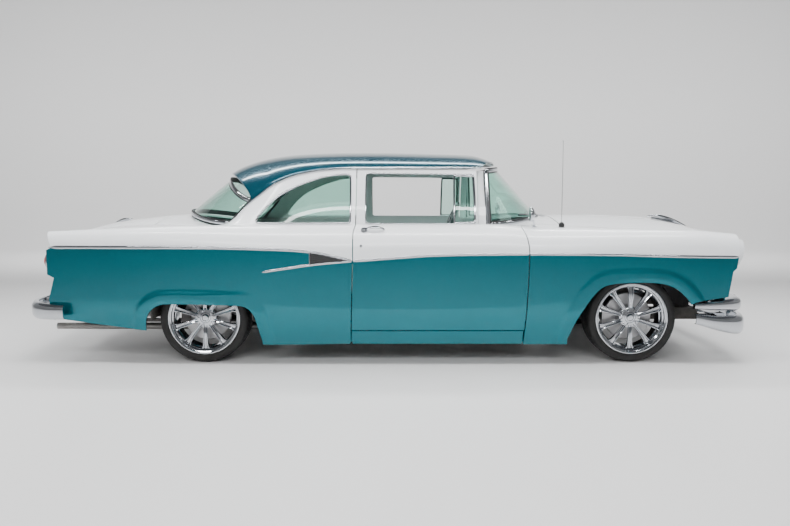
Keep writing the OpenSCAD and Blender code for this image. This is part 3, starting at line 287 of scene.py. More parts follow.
def lathe(
    profile: Sequence[Sequence[float]],
    centre: Sequence[float],
    axis: str = "y",
    count: int = 96,
    sign: int = 1,
) -> Shape:
    """Turns a closed [radius, along] outline round an axis through the centre.

    Args:
        profile: Closed outline; a point of radius 0 makes a pole, welded later.
        centre: Middle of the turned piece.
        axis: "x", "y" or "z", the axis it turns round.
        count: Steps round the axis.
        sign: 1 or -1, which way along the axis counts as forward.

    Returns:
        The closed ring or solid.
    """
    p = np.asarray(profile, float)
    a = (np.arange(count) * 2 * math.pi / count)[:, None]
    r, d = np.broadcast_to(p[:, 0], (count, len(p))), np.broadcast_to(p[:, 1] * sign, (count, len(p)))
    one, two = r * np.cos(a), r * np.sin(a)
    order = {"x": (d, one, two), "y": (one, d, two), "z": (one, two, d)}[axis]
    points = np.stack(order, -1).reshape(-1, 3) + np.asarray(centre, float)
    return Shape(points, [grid_faces(count, len(p), True, True)]).outward()


def box_shape(low: Sequence[float], high: Sequence[float]) -> Shape:
    """Plain box between two corners, for pieces that a bevel then rounds."""
    lo, hi = np.asarray(low, float), np.asarray(high, float)
    k = np.array([[i, j, m] for i in (0, 1) for j in (0, 1) for m in (0, 1)])
    quads = np.array([[0, 1, 3, 2], [4, 6, 7, 5], [0, 4, 5, 1], [2, 3, 7, 6], [0, 2, 6, 4], [1, 5, 7, 3]])
    return Shape(lo + k * (hi - lo), [quads]).outward()


def prism(outline: Sequence[Sequence[float]], y0: float, y1: float) -> Shape:
    """Side-view outline of [x, z] points carried across the car between two y values."""
    o = np.asarray(outline, float)
    n = len(o)
    points = np.vstack([
        np.stack([o[:, 0], np.full(n, y0), o[:, 1]], 1),
        np.stack([o[:, 0], np.full(n, y1), o[:, 1]], 1),
    ])
    i = np.arange(n)
    j = (i + 1) % n
    return Shape(points, [np.stack([i, j, j + n, i + n], 1), i[::-1][None, :], (i + n)[None, :]]).outward()


# ---- Meshes --------------------------------------------------------------------------------


def make_mesh(name: str, shape: Shape) -> bpy.types.Object:
    """New object at the origin whose mesh holds the shape in metres, doubles merged.

    Args:
        name: Name of the piece.
        shape: The shape in millimetres.

    Returns:
        The new object, linked to the scene.
    """
    mesh = bpy.data.meshes.new(name)
    faces = [row for block in shape.faces for row in block.tolist()]
    mesh.from_pydata((shape.points * METRE).tolist(), [], faces)
    work = bmesh.new()
    work.from_mesh(mesh)
    bmesh.ops.remove_doubles(work, verts=work.verts, dist=1e-5)
    bmesh.ops.dissolve_degenerate(work, edges=work.edges, dist=1e-6)
    work.to_mesh(mesh)
    work.free()
    obj = bpy.data.objects.new(name, mesh)
    bpy.context.scene.collection.objects.link(obj)
    return obj


def apply_modifiers(obj: bpy.types.Object) -> None:
    """Replaces an object's mesh by what its modifiers make of it, and removes them."""
    graph = bpy.context.evaluated_depsgraph_get()
    mesh = bpy.data.meshes.new_from_object(obj.evaluated_get(graph))
    obj.modifiers.clear()
    obj.data = mesh


def cut(obj: bpy.types.Object, cutters: Sequence[Shape]) -> None:
    """Takes closed shapes away from an object's mesh."""
    tools = []
    for shape in cutters:
        tool = make_mesh("cutter", shape)
        tools.append(tool)
        change = obj.modifiers.new("cut", "BOOLEAN")
        change.object, change.operation, change.solver = tool, "DIFFERENCE", "EXACT"
    apply_modifiers(obj)
    for tool in tools:
        bpy.data.objects.remove(tool)


def piece(
    name: str,
    shape: Shape | Sequence[Shape],
    finish: bpy.types.Material,
    body: str = "body",
    stands_for: Sequence[str] = (),
    cutters: Sequence[Shape] = (),
    bevel: float = 0.0,
    sharp: float = 38.0,
) -> bpy.types.Object:
    """Makes one finished piece and ties it to its body.

    Args:
        name: Name of the piece.
        shape: One shape or several, each closed.
        finish: Its material.
        body: The CAD body that it moves with.
        stands_for: CAD nodes that it replaces.
        cutters: Shapes cut out of it.
        bevel: Width of a rounding of its edges, in millimetres.
        sharp: Angle in degrees past which an edge stays sharp.

    Returns:
        The object.
    """
    whole = shape if isinstance(shape, Shape) else joined(list(shape))
    obj = make_mesh(name, whole)
    if cutters:
        cut(obj, cutters)
    if bevel:
        edge = obj.modifiers.new("edge", "BEVEL")
        edge.width, edge.segments, edge.limit_method = bevel * METRE, 2, "ANGLE"
        apply_modifiers(obj)
    obj.data.shade_smooth()
    obj.data.set_sharp_from_angle(angle=math.radians(sharp))
    obj.data.materials.clear()
    obj.data.materials.append(finish)
    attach(obj, body)
    if stands_for:
        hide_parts(*stands_for)
    LOG.info("%s: %d faces on %s", name, len(obj.data.polygons), body)
    return obj


# ---- Finishes ------------------------------------------------------------------------------


class Nodes:
    """Short names for adding nodes and links to one shader tree."""

    def __init__(self, tree: bpy.types.NodeTree) -> None:
        """Keeps the tree."""
        self.tree = tree

    def add(self, kind: str, fields: dict | None = None, **values: object) -> bpy.types.Node:
        """Adds a node, sets its fields, and sets or links its inputs by name."""
        node = self.tree.nodes.new(kind)
        for key, value in (fields or {}).items():
            setattr(node, key, value)
        for key, value in values.items():
            self.feed(node.inputs[key.replace("_", " ")], value)
        return node

    def feed(self, socket: bpy.types.NodeSocket, value: object) -> None:
        """Links an output to a socket, or sets the socket's value."""
        if isinstance(value, bpy.types.NodeSocket):
            self.tree.links.new(value, socket)
        else:
            socket.default_value = value

    def math(self, operation: str, a: object, b: object = 0.0, clamp: bool = False) -> bpy.types.NodeSocket:
        """Output of a Math node on two values."""
        node = self.tree.nodes.new("ShaderNodeMath")
        node.operation, node.use_clamp = operation, clamp
        self.feed(node.inputs[0], a)
        self.feed(node.inputs[1], b)
        return node.outputs[0]

    def mix(self, factor: object, a: object, b: object) -> bpy.types.NodeSocket:
        """Output of a colour Mix node."""
        node = self.tree.nodes.new("ShaderNodeMix")
        node.data_type = "RGBA"
        self.feed(node.inputs[0], factor)
        self.feed(node.inputs[6], a)
        self.feed(node.inputs[7], b)
        return node.outputs[2]

    def ramp(self, value: object, low: float, high: float) -> bpy.types.NodeSocket:
        """Value moved from the range low..high to 0..1, clamped."""
        node = self.tree.nodes.new("ShaderNodeMapRange")
        self.feed(node.inputs[0], value)
        node.inputs[1].default_value, node.inputs[2].default_value = low, high
        return node.outputs[0]


def new_group(name: str, inputs: dict, outputs: Sequence[str]) -> tuple:
    """Empty shader group with named float inputs and float outputs.

    Args:
        name: Name of the group.
        inputs: Default value of each input.
        outputs: Names of the outputs.

    Returns:
        The group, its Nodes helper, its input node and its output node.
    """
    tree = bpy.data.node_groups.new(name, "ShaderNodeTree")
    for key, value in inputs.items():
        socket = tree.interface.new_socket(name=key, in_out="INPUT", socket_type="NodeSocketFloat")
        socket.default_value = value
    for key in outputs:
        tree.interface.new_socket(name=key, in_out="OUTPUT", socket_type="NodeSocketFloat")
    nodes = Nodes(tree)
    return tree, nodes, nodes.add("NodeGroupInput"), nodes.add("NodeGroupOutput")


def flake_group() -> bpy.types.NodeTree:
    """Metallic flake: tiny cells of random brightness, and a slow drift of the coat's depth."""
    tree, n, given, made = new_group("paint_flake", {"Scale": 900.0, "Drift": 1.5}, ["Flake", "Depth"])
    place = n.add("ShaderNodeTexCoord").outputs["Object"]
    cells = n.add("ShaderNodeTexVoronoi", Vector=place, Scale=given.outputs["Scale"])
    split = n.add("ShaderNodeSeparateColor", Color=cells.outputs["Color"])
    drift = n.add("ShaderNodeTexNoise", Vector=place, Scale=given.outputs["Drift"], Detail=3.0)
    n.feed(made.inputs["Flake"], n.math("POWER", split.outputs[0], 4.0))
    n.feed(made.inputs["Depth"], drift.outputs[0])
    return tree


def polish_group() -> bpy.types.NodeTree:
    """Fine wear of a polished face: faint swirls for roughness and a long ripple for height."""
    tree, n, given, made = new_group(
        "polish_wear", {"Swirl Scale": 60.0, "Ripple Scale": 12.0}, ["Swirl", "Ripple"]
    )
    place = n.add("ShaderNodeTexCoord").outputs["Object"]
    swirl = n.add(
        "ShaderNodeTexNoise", Vector=place, Scale=given.outputs["Swirl Scale"], Detail=6.0, Roughness=0.7
    )
    ripple = n.add("ShaderNodeTexNoise", Vector=place, Scale=given.outputs["Ripple Scale"], Detail=1.0)
    n.feed(made.inputs["Swirl"], n.ramp(swirl.outputs[0], 0.35, 0.75))
    n.feed(made.inputs["Ripple"], ripple.outputs[0])
    return tree


def dust_group() -> bpy.types.NodeTree:
    """Road dust: thick near the ground and patchy above, as a mask."""
    tree, n, given, made = new_group("road_dust", {"Top": 0.45, "Amount": 0.5}, ["Dust"])
    place = n.add("ShaderNodeTexCoord").outputs["Object"]
    height = n.add("ShaderNodeSeparateXYZ", Vector=place).outputs[2]
    low = n.math("SUBTRACT", 1.0, n.math("DIVIDE", height, given.outputs["Top"]), clamp=True)
    spots = n.add("ShaderNodeTexNoise", Vector=place, Scale=18.0, Detail=8.0, Roughness=0.65)
    patch = n.ramp(spots.outputs[0], 0.35, 0.8)
    both = n.math("ADD", n.math("MULTIPLY", low, 0.6), n.math("MULTIPLY", patch, 0.5))
    n.feed(made.inputs["Dust"], n.math("MULTIPLY", both, given.outputs["Amount"], clamp=True))
    return tree


def grain_group() -> bpy.types.NodeTree:
    """Moulded grain: small rounded cells with finer pores, as a height."""
    tree, n, given, made = new_group("fine_grain", {"Scale": 500.0, "Pores": 0.3}, ["Height", "Tone"])
    place = n.add("ShaderNodeTexCoord").outputs["Object"]
    cells = n.add("ShaderNodeTexVoronoi", Vector=place, Scale=given.outputs["Scale"])
    pores = n.add("ShaderNodeTexNoise", Vector=place, Scale=1400.0, Detail=2.0)
    tone = n.add("ShaderNodeTexNoise", Vector=place, Scale=7.0, Detail=5.0)
    rough = n.math("MULTIPLY", pores.outputs[0], given.outputs["Pores"])
    n.feed(made.inputs["Height"], n.math("ADD", cells.outputs[0], rough))
    n.feed(made.inputs["Tone"], tone.outputs[0])
    return tree


GROUPS = {
    "flake": flake_group(),
    "polish": polish_group(),
    "dust": dust_group(),
    "grain": grain_group(),
}


def start_material(name: str, slot: str) -> tuple:
    """Empty material with a Principled shader.

    Args:
        name: Name of the material.
        slot: The record's slot that its pieces take.

    Returns:
        The material, its Nodes helper, the shader and the output node.
    """
    material = bpy.data.materials.new(name)
    material["slot"] = slot
    material.use_nodes = True
    tree = material.node_tree
    tree.nodes.clear()
    nodes = Nodes(tree)
    shader = nodes.add("ShaderNodeBsdfPrincipled")
    output = nodes.add("ShaderNodeOutputMaterial", Surface=shader.outputs[0])
    return material, nodes, shader, output


def use_group(nodes: Nodes, name: str, **values: object) -> bpy.types.Node:
    """Places one of the shared groups in a material with its own values."""
    node = nodes.tree.nodes.new("ShaderNodeGroup")
    node.node_tree = GROUPS[name]
    for key, value in values.items():
        nodes.feed(node.inputs[key.replace("_", " ")], value)
    return node


def bump(nodes: Nodes, shader: bpy.types.Node, height: object, strength: float, distance: float) -> None:
    """Feeds a height through a Bump node into a shader's Normal."""
    node = nodes.add("ShaderNodeBump", Strength=strength, Distance=distance, Height=height)
    nodes.feed(shader.inputs["Normal"], node.outputs[0])


@dataclass(frozen=True)
class PaintFinish:
    """Enamel under clear coat; with a second colour it splits at the tone attribute's zero."""

    name: str
    slot: str
    colour: tuple
    flake: float = 0.0
    above: tuple | None = None
    metallic: float = 0.0
    roughness: float = 0.28
    coat: float = 1.0
    coat_ior: float = 1.32

    def build(self) -> bpy.types.Material:
        """Makes the material."""
        material, n, shader, _ = start_material(self.name, self.slot)
        flake = use_group(n, "flake")
        wear = use_group(n, "polish")
        light = tuple(min(1.0, c * 1.6 + 0.01) for c in self.colour[:3]) + (1.0,)
        deep = tuple(c * 0.82 for c in self.colour[:3]) + (1.0,)
        base = n.mix(flake.outputs["Depth"], deep, self.colour)
        sparkle = n.math("MULTIPLY", flake.outputs["Flake"], self.flake)
        colour = n.mix(sparkle, base, light)
        metal = self.metallic
        if self.above:
            tone = n.add("ShaderNodeAttribute", {"attribute_name": "tone"})
            mask = n.math("GREATER_THAN", tone.outputs["Fac"], 0.0)
            colour = n.mix(mask, colour, self.above)
            metal = n.math("MULTIPLY", n.math("SUBTRACT", 1.0, mask), self.metallic)
        n.feed(shader.inputs["Base Color"], colour)
        n.feed(shader.inputs["Metallic"], metal)
        rough = n.math("ADD", self.roughness, n.math("MULTIPLY", wear.outputs["Swirl"], 0.05))
        n.feed(shader.inputs["Roughness"], rough)
        shader.inputs["Coat Weight"].default_value = self.coat
        shader.inputs["Coat IOR"].default_value = self.coat_ior
        shader.inputs["Coat Roughness"].default_value = 0.03
        bump(n, shader, wear.outputs["Ripple"], 0.04, 0.002)
        return material


@dataclass(frozen=True)
class MetalFinish:
    """Plated, polished or cast metal with swirls and, where it sits low, road dust."""

    name: str
    slot: str
    colour: tuple
    roughness: float
    swirl: float = 0.06
    dust: float = 0.0
    grain: float = 0.0
    metallic: float = 1.0

    def build(self) -> bpy.types.Material:
        """Makes the material."""
        material, n, shader, _ = start_material(self.name, self.slot)
        wear = use_group(n, "polish", Swirl_Scale=90.0, Ripple_Scale=25.0)
        colour: object = n.mix(wear.outputs["Swirl"], self.colour,
            tuple(c * 0.9 for c in self.colour[:3]) + (1,))
        rough = n.math("ADD", self.roughness, n.math("MULTIPLY", wear.outputs["Swirl"], self.swirl))
        metal: object = self.metallic
        if self.dust:
            dirt = use_group(n, "dust", Amount=self.dust)
            colour = n.mix(dirt.outputs[0], colour, (0.23, 0.2, 0.17, 1))
            rough = n.math("ADD", rough, n.math("MULTIPLY", dirt.outputs[0], 0.4))
            metal = n.math("SUBTRACT", self.metallic, n.math("MULTIPLY", dirt.outputs[0], 0.7), clamp=True)
        n.feed(shader.inputs["Base Color"], colour)
        n.feed(shader.inputs["Roughness"], rough)
        n.feed(shader.inputs["Metallic"], metal)
        if self.grain:
            cast = use_group(n, "grain", Scale=220.0)
            bump(n, shader, cast.outputs["Height"], self.grain, 0.001)
        else:
            bump(n, shader, wear.outputs["Ripple"], 0.03, 0.001)
        return material


@dataclass(frozen=True)
class SoftFinish:
    """Vinyl, rubber, carpet or moulded plastic, with a grain and an uneven tone."""

    name: str
    slot: str
    colour: tuple
    roughness: float = 0.5
    grain_scale: float = 500.0
    grain: float = 0.25
    sheen: float = 0.0
    dust: float = 0.0
    coat: float = 0.0

    def build(self) -> bpy.types.Material:
        """Makes the material."""
        material, n, shader, _ = start_material(self.name, self.slot)
        grain = use_group(n, "grain", Scale=self.grain_scale)
        dark = tuple(c * 0.8 for c in self.colour[:3]) + (1,)
        colour: object = n.mix(grain.outputs["Tone"], dark, self.colour)
        if self.dust:
            dirt = use_group(n, "dust", Amount=self.dust)
            colour = n.mix(dirt.outputs[0], colour, (0.25, 0.22, 0.19, 1))
        n.feed(shader.inputs["Base Color"], colour)
        rough = n.math("ADD", self.roughness, n.math("MULTIPLY", grain.outputs["Tone"], 0.12))
        n.feed(shader.inputs["Roughness"], rough)
        shader.inputs["Sheen Weight"].default_value = self.sheen
        shader.inputs["Coat Weight"].default_value = self.coat
        bump(n, shader, grain.outputs["Height"], self.grain, 0.0006)
        return material


@dataclass(frozen=True)
class GlassFinish:
    """Tinted pane that lets light through in shadow, with a faint film of dust."""

    name: str
    slot: str
    colour: tuple
    roughness: float = 0.0
    lets_light: bool = True

    def build(self) -> bpy.types.Material:
        """Makes the material."""
        material, n, shader, output = start_material(self.name, self.slot)
        film = use_group(n, "polish", Swirl_Scale=9.0)
        pale = tuple(min(1, c * 1.06) for c in self.colour[:3]) + (1,)
        n.feed(shader.inputs["Base Color"], n.mix(film.outputs["Swirl"], self.colour, pale))
        n.feed(shader.inputs["Roughness"], n.math("MULTIPLY", film.outputs["Swirl"], self.roughness + 0.01))
        shader.inputs["Transmission Weight"].default_value = 1.0 if self.lets_light else 0.35
        shader.inputs["IOR"].default_value = 1.45
        if self.lets_light:
            clear = n.add("ShaderNodeBsdfTransparent", Color=self.colour)
            ray = n.add("ShaderNodeLightPath")
            blend = n.tree.nodes.new("ShaderNodeMixShader")
            n.feed(blend.inputs[0], ray.outputs["Is Shadow Ray"])
            n.feed(blend.inputs[1], shader.outputs[0])
            n.feed(blend.inputs[2], clear.outputs[0])
            n.feed(output.inputs[0], blend.outputs[0])
        return material


@dataclass
class Finishes:
    """Every material of the car, built once."""

    paint: bpy.types.Material = field(init=False)

    def __post_init__(self) -> None:
        """Builds the materials."""
        teal, white = (0.0, 0.15, 0.19, 1), (0.78, 0.80, 0.82, 1)
        self.paint = PaintFinish("two_tone_enamel", "teal_paint", teal, 0.5, white, 0.8, 0.3).build()
        self.white = PaintFinish("white_enamel", "white_paint", white).build()
        self.teal = PaintFinish("teal_enamel", "teal_paint", teal, 0.5, None, 0.8, 0.3).build()
        self.roof = PaintFinish("roof_enamel", "roof_paint", (0.0, 0.055, 0.085, 1), 0.4, None, 0.5,
            0.22).build()
        self.chrome = MetalFinish("chrome_plate", "bright_chrome", (0.58, 0.60, 0.63, 1), 0.04).build()
        self.satin = MetalFinish("satin_alloy", "bright_chrome", (0.55, 0.56, 0.57, 1), 0.3).build()
        self.iron = MetalFinish("cast_iron", "grey_iron", (0.10, 0.10, 0.105, 1), 0.5, 0.1, 0.5, 0.5,
            0.6).build()
        self.steel = MetalFinish("brake_steel", "bare_steel", (0.52, 0.52, 0.53, 1), 0.32, 0.12, 0.15).build()
        self.pipe = MetalFinish(
            "pipe_steel", "aluminised_steel", (0.42, 0.41, 0.40, 1), 0.35, 0.15, 0.5
        ).build()
        self.under = SoftFinish(
            "underbody_black", "underbody_paint", (0.028, 0.03, 0.03, 1), 0.6, 120.0, 0.3, 0.0, 0.5
        ).build()
        self.black = SoftFinish("satin_black", "underbody_paint", (0.012, 0.012, 0.013, 1), 0.45,
            300.0, 0.1).build()
        self.rubber = SoftFinish(
            "tyre_rubber", "tyre_rubber", (0.005, 0.005, 0.0055, 1), 0.6, 700.0, 0.2, 0.0, 0.03
        ).build()
        self.glass = GlassFinish("tinted_glass", "tinted_glass", (0.62, 0.86, 0.78, 1)).build()
        self.clear = GlassFinish("lamp_glass", "tinted_glass", (0.95, 0.97, 0.97, 1)).build()
        self.red = GlassFinish("red_lens", "red_lens", (0.62, 0.012, 0.01, 1), 0.08, False).build()
        self.amber = GlassFinish("amber_lens", "red_lens", (0.85, 0.55, 0.25, 1), 0.12, False).build()
        self.vinyl = SoftFinish(
            "pale_vinyl", "seat_vinyl", (0.56, 0.58, 0.57, 1), 0.42, 420.0, 0.3, 0.1, 0.0, 0.1
        ).build()
        self.trim = SoftFinish(
            "teal_vinyl", "seat_vinyl", (0.01, 0.17, 0.2, 1), 0.4, 420.0, 0.3, 0.1, 0.0, 0.1
        ).build()
        self.piping = SoftFinish("dark_piping", "seat_vinyl", (0.02, 0.025, 0.03, 1), 0.4, 600.0, 0.2).build()
        self.carpet = SoftFinish(
            "loop_carpet", "seat_vinyl", (0.03, 0.035, 0.04, 1), 0.9, 260.0, 0.9, 0.4
        ).build()
        self.dash = PaintFinish("dash_enamel", "dash_paint", (0.0, 0.17, 0.21, 1), 0.2, None, 0.2,
            0.35, 0.5).build()
        self.plastic = SoftFinish(
            "wheel_plastic", "wheel_plastic", (0.03, 0.05, 0.055, 1), 0.3, 900.0, 0.05, 0.0, 0.0, 0.6
        ).build()
        self.ivory = SoftFinish(
            "ivory_dial", "dash_paint", (0.62, 0.6, 0.52, 1), 0.35, 900.0, 0.03, 0.0, 0.0, 0.4
        ).build()


# ---- Shape of the body ---------------------------------------------------------------------


@dataclass
class BodyShape:
    """The curves that every panel of the body shares."""

    front_axle: float = 1675.0
    rear_axle: float = -1259.0
    nose: float = 2375.0
    tail: float = -2305.0
    hood_edge_y: float = 660.0
    deck_edge_y: float = 620.0
    rail: float = 1335.0
    gap: float = 7.0
    pillar: float = -1109.0

    def __post_init__(self) -> None:
        """Sets up the curves from their points."""
        self.plan = Curve([
            (-2305, 882), (-1759, 930), (-1159, 956), (-233, 964), (943, 962), (1675, 952), (2075,
                930), (2375, 888),
        ])
        self.shoulder = Curve([
            (-2305, 904), (-1919, 921), (-1359, 942), (-233, 950), (743, 950), (1003, 932), (1675, 920),
            (2075, 912), (2375, 886),
        ])
        self.round_in = Curve([
            (-2305, 60), (-1509, 110), (-909, 165), (-233, 175), (943, 172), (1675, 125), (2375, 92),
        ])
        self.round_up = Curve([
            (-2305, 76), (-1509, 120), (-909, 175), (-233, 188), (943, 172), (1675, 128), (2375, 100),
        ])
        self.house = Curve([
            (-1109, 970), (-959, 1103), (-901, 1145), (-815, 1209), (-699, 1267), (-582, 1301), (-466, 1322),
            (-293, 1333), (943, 1335),
        ])
        self.rail_y = Curve([(-1109, 626), (-959, 638), (-599, 660), (643, 656), (943, 630)])
        self.hood_mid = Curve([
            (1063, 990), (1353, 991), (1584, 986), (1874, 974), (2036, 961), (2165, 939), (2306, 899),
            (2364, 870), (2383, 838),
        ])
        self.hood_edge = Curve([(1063, 944), (1675, 918), (2075, 898), (2323, 866), (2383, 838)])
        self.deck_mid = Curve([
            (-2325, 832), (-2257, 877), (-2091, 938), (-1709, 986), (-1559, 994), (-1059, 954),
        ])
        self.deck_edge = Curve([(-2325, 822), (-2257, 858), (-2091, 902), (-1709, 938), (-1059, 930)])
        self.door_rear = Curve([(138, -247), (240, -243), (728, -229), (905, -227), (945, -217), (1335,
            -211)])
        self.door_front = Curve([
            (138, 919), (240, 923), (508, 936), (758, 943), (833, 936), (887, 923), (926, 907),
        ])
        self.strip = Curve([
            (-2290, 799), (-1382, 802), (-938, 796), (-519, 774), (-277, 724), (-228, 714), (83, 736),
            (303, 750), (745, 758), (1147, 758), (1541, 754), (1940, 742), (2400, 732),
        ])
        self.front_arch = np.array([
            (-452, 178), (-405, 306), (-340, 418), (-281, 496), (-224, 542), (-126, 562), (71, 566),
            (169, 557),
            (249, 530), (320, 476), (365, 424), (400, 362),
        ], float) + [self.front_axle, 0]
        self.rear_arch = np.array([
            (-384, 158), (-374, 300), (-349, 360), (-301, 402), (-239, 420), (220, 413), (293, 406),
            (336, 380),
            (365, 336), (382, 269), (406, 158),
        ], float) + [self.rear_axle, 0]
        self.front_edge = through(self.front_arch, 60)
        self.rear_edge = through(self.rear_arch, 60)

    def ridge_y(self, x: np.ndarray) -> np.ndarray:
        """Distance of the shoulder's ridge from the car's middle."""
        return self.plan(x) - self.round_in(x)

    def round_foot(self, x: np.ndarray) -> np.ndarray:
        """Height at which the side starts to round over into the shoulder."""
        return self.shoulder(x) - self.round_up(x)

    def side_y(self, x: np.ndarray, z: np.ndarray) -> np.ndarray:
        """Half width at a height: the plan's, less a tuck of 84 t^2 under z = 458, with the round over."""
        tuck = 84 * (np.maximum(458 - z, 0) / 320) ** 2
        up = np.clip((z - self.round_foot(x)) / self.round_up(x), 0, 1)
        y = self.plan(x) - tuck - self.round_in(x) * (1 - np.sqrt(1 - up**2)) + self.flare(x, z)
        return np.minimum(y, SKIN_LIMIT)

    def flare(self, x: np.ndarray, z: np.ndarray) -> np.ndarray:
        """Raised band round each wheel arch: 7 proud to 78 from the opening, then down over 26."""
        rise = np.zeros(np.broadcast(x, z).shape)
        for edge in (self.front_edge, self.rear_edge):
            x0, x1 = edge[:, 0].min() - 160, edge[:, 0].max() + 160
            near = np.broadcast_to((x > x0) & (x < x1) & (z < 720), rise.shape)
            if not near.any():
                continue
            p = np.stack([np.broadcast_to(x, rise.shape)[near], np.broadcast_to(z, rise.shape)[near]], -1)
            d = segment_distance(p, edge)
            rise[near] = np.maximum(rise[near], 7 * (1 - blend_in(70, 92, d)) - 3 * (1 - blend_in(0, 30, d)))
        return rise

    def house_y(self, x: np.ndarray, z: np.ndarray) -> np.ndarray:
        """Half width above the ridge: a straight lean to the drip rail, bowed out by 14 halfway.

        The share of the lean is the height above the ridge over the drip rail's own height
        there, so that the rear pillar turns in to meet the roof's corner.
        """
        low = self.shoulder(x)
        s = np.clip((z - low) / np.maximum(self.house(x) - low, 18), 0, 1.05)
        ridge = self.ridge_y(x)
        return ridge + (self.rail_y(x) - ridge) * s + 14 * np.sin(np.pi * s) * blend_in(-1109, -700, x)

    def hood_z(self, x: np.ndarray, y: np.ndarray) -> np.ndarray:
        """Height of the hood: the middle's, falling to the edge's with the 2.2 power of y."""
        mid = self.hood_mid(x)
        return mid - (mid - self.hood_edge(x)) * np.minimum(np.abs(y) / self.hood_edge_y, 1) ** 2.2

    def deck_z(self, x: np.ndarray, y: np.ndarray) -> np.ndarray:
        """Height of the trunk's deck, by the same rule as the hood's."""
        mid = self.deck_mid(x)
        return mid - (mid - self.deck_edge(x)) * np.minimum(np.abs(y) / self.deck_edge_y, 1) ** 2.2

    def side_path(self, x: np.ndarray, z: np.ndarray) -> tuple[np.ndarray, np.ndarray]:
        """Points on the left side at the given x and z, and the surface's normals there."""
        y = self.side_y(x, z)
        out = np.stack([
            -(self.side_y(x + 4, z) - self.side_y(x - 4, z)) / 8,
            np.ones_like(y),
            -(self.side_y(x, z + 4) - self.side_y(x, z - 4)) / 8,
        ], 1)
        return np.stack([x, y, z], 1), unit(out)

    def house_path(self, x: np.ndarray, z: np.ndarray) -> tuple[np.ndarray, np.ndarray]:
        """Points on the left side above the ridge, and the normals there."""
        y = self.house_y(x, z)
        out = np.stack([
            -(self.house_y(x + 4, z) - self.house_y(x - 4, z)) / 8,
            np.ones_like(y),
            -(self.house_y(x, z + 4) - self.house_y(x, z - 4)) / 8,
        ], 1)
        return np.stack([x, y, z], 1), unit(out)

    def tone(self, obj: bpy.types.Object) -> None:
        """Writes the tone attribute: how far each vertex lies above the side moulding."""
        mesh = obj.data
        co = np.zeros(len(mesh.vertices) * 3, np.float32)
        mesh.vertices.foreach_get("co", co)
        co = co.reshape(-1, 3) / METRE
        rise = co[:, 2] - self.strip(co[:, 0])
        data = mesh.attributes.new("tone", "FLOAT", "POINT")
        data.data.foreach_set("value", rise.astype(np.float32))


def segment_distance(p: np.ndarray, line: np.ndarray) -> np.ndarray:
    """Distance of each [x, z] point from a polyline: the least over its segments."""
    a, d = line[:-1], np.diff(line, axis=0)
    w = p[:, None] - a[None]
    t = np.clip(np.einsum("ijk,jk->ij", w, d) / np.einsum("jk,jk->j", d, d), 0, 1)
    return np.linalg.norm(w - t[..., None] * d[None], axis=-1).min(1)


FENDER_FACE = [(418, 2296), (568, 2318), (634, 2330), (658, 2350), (758, 2362), (850, 2364)]
QUARTER_FACE = [(300, -2280), (448, -2288), (592, -2252), (620, -2276), (776, -2278), (800, -2266),
    (896, -2296)]


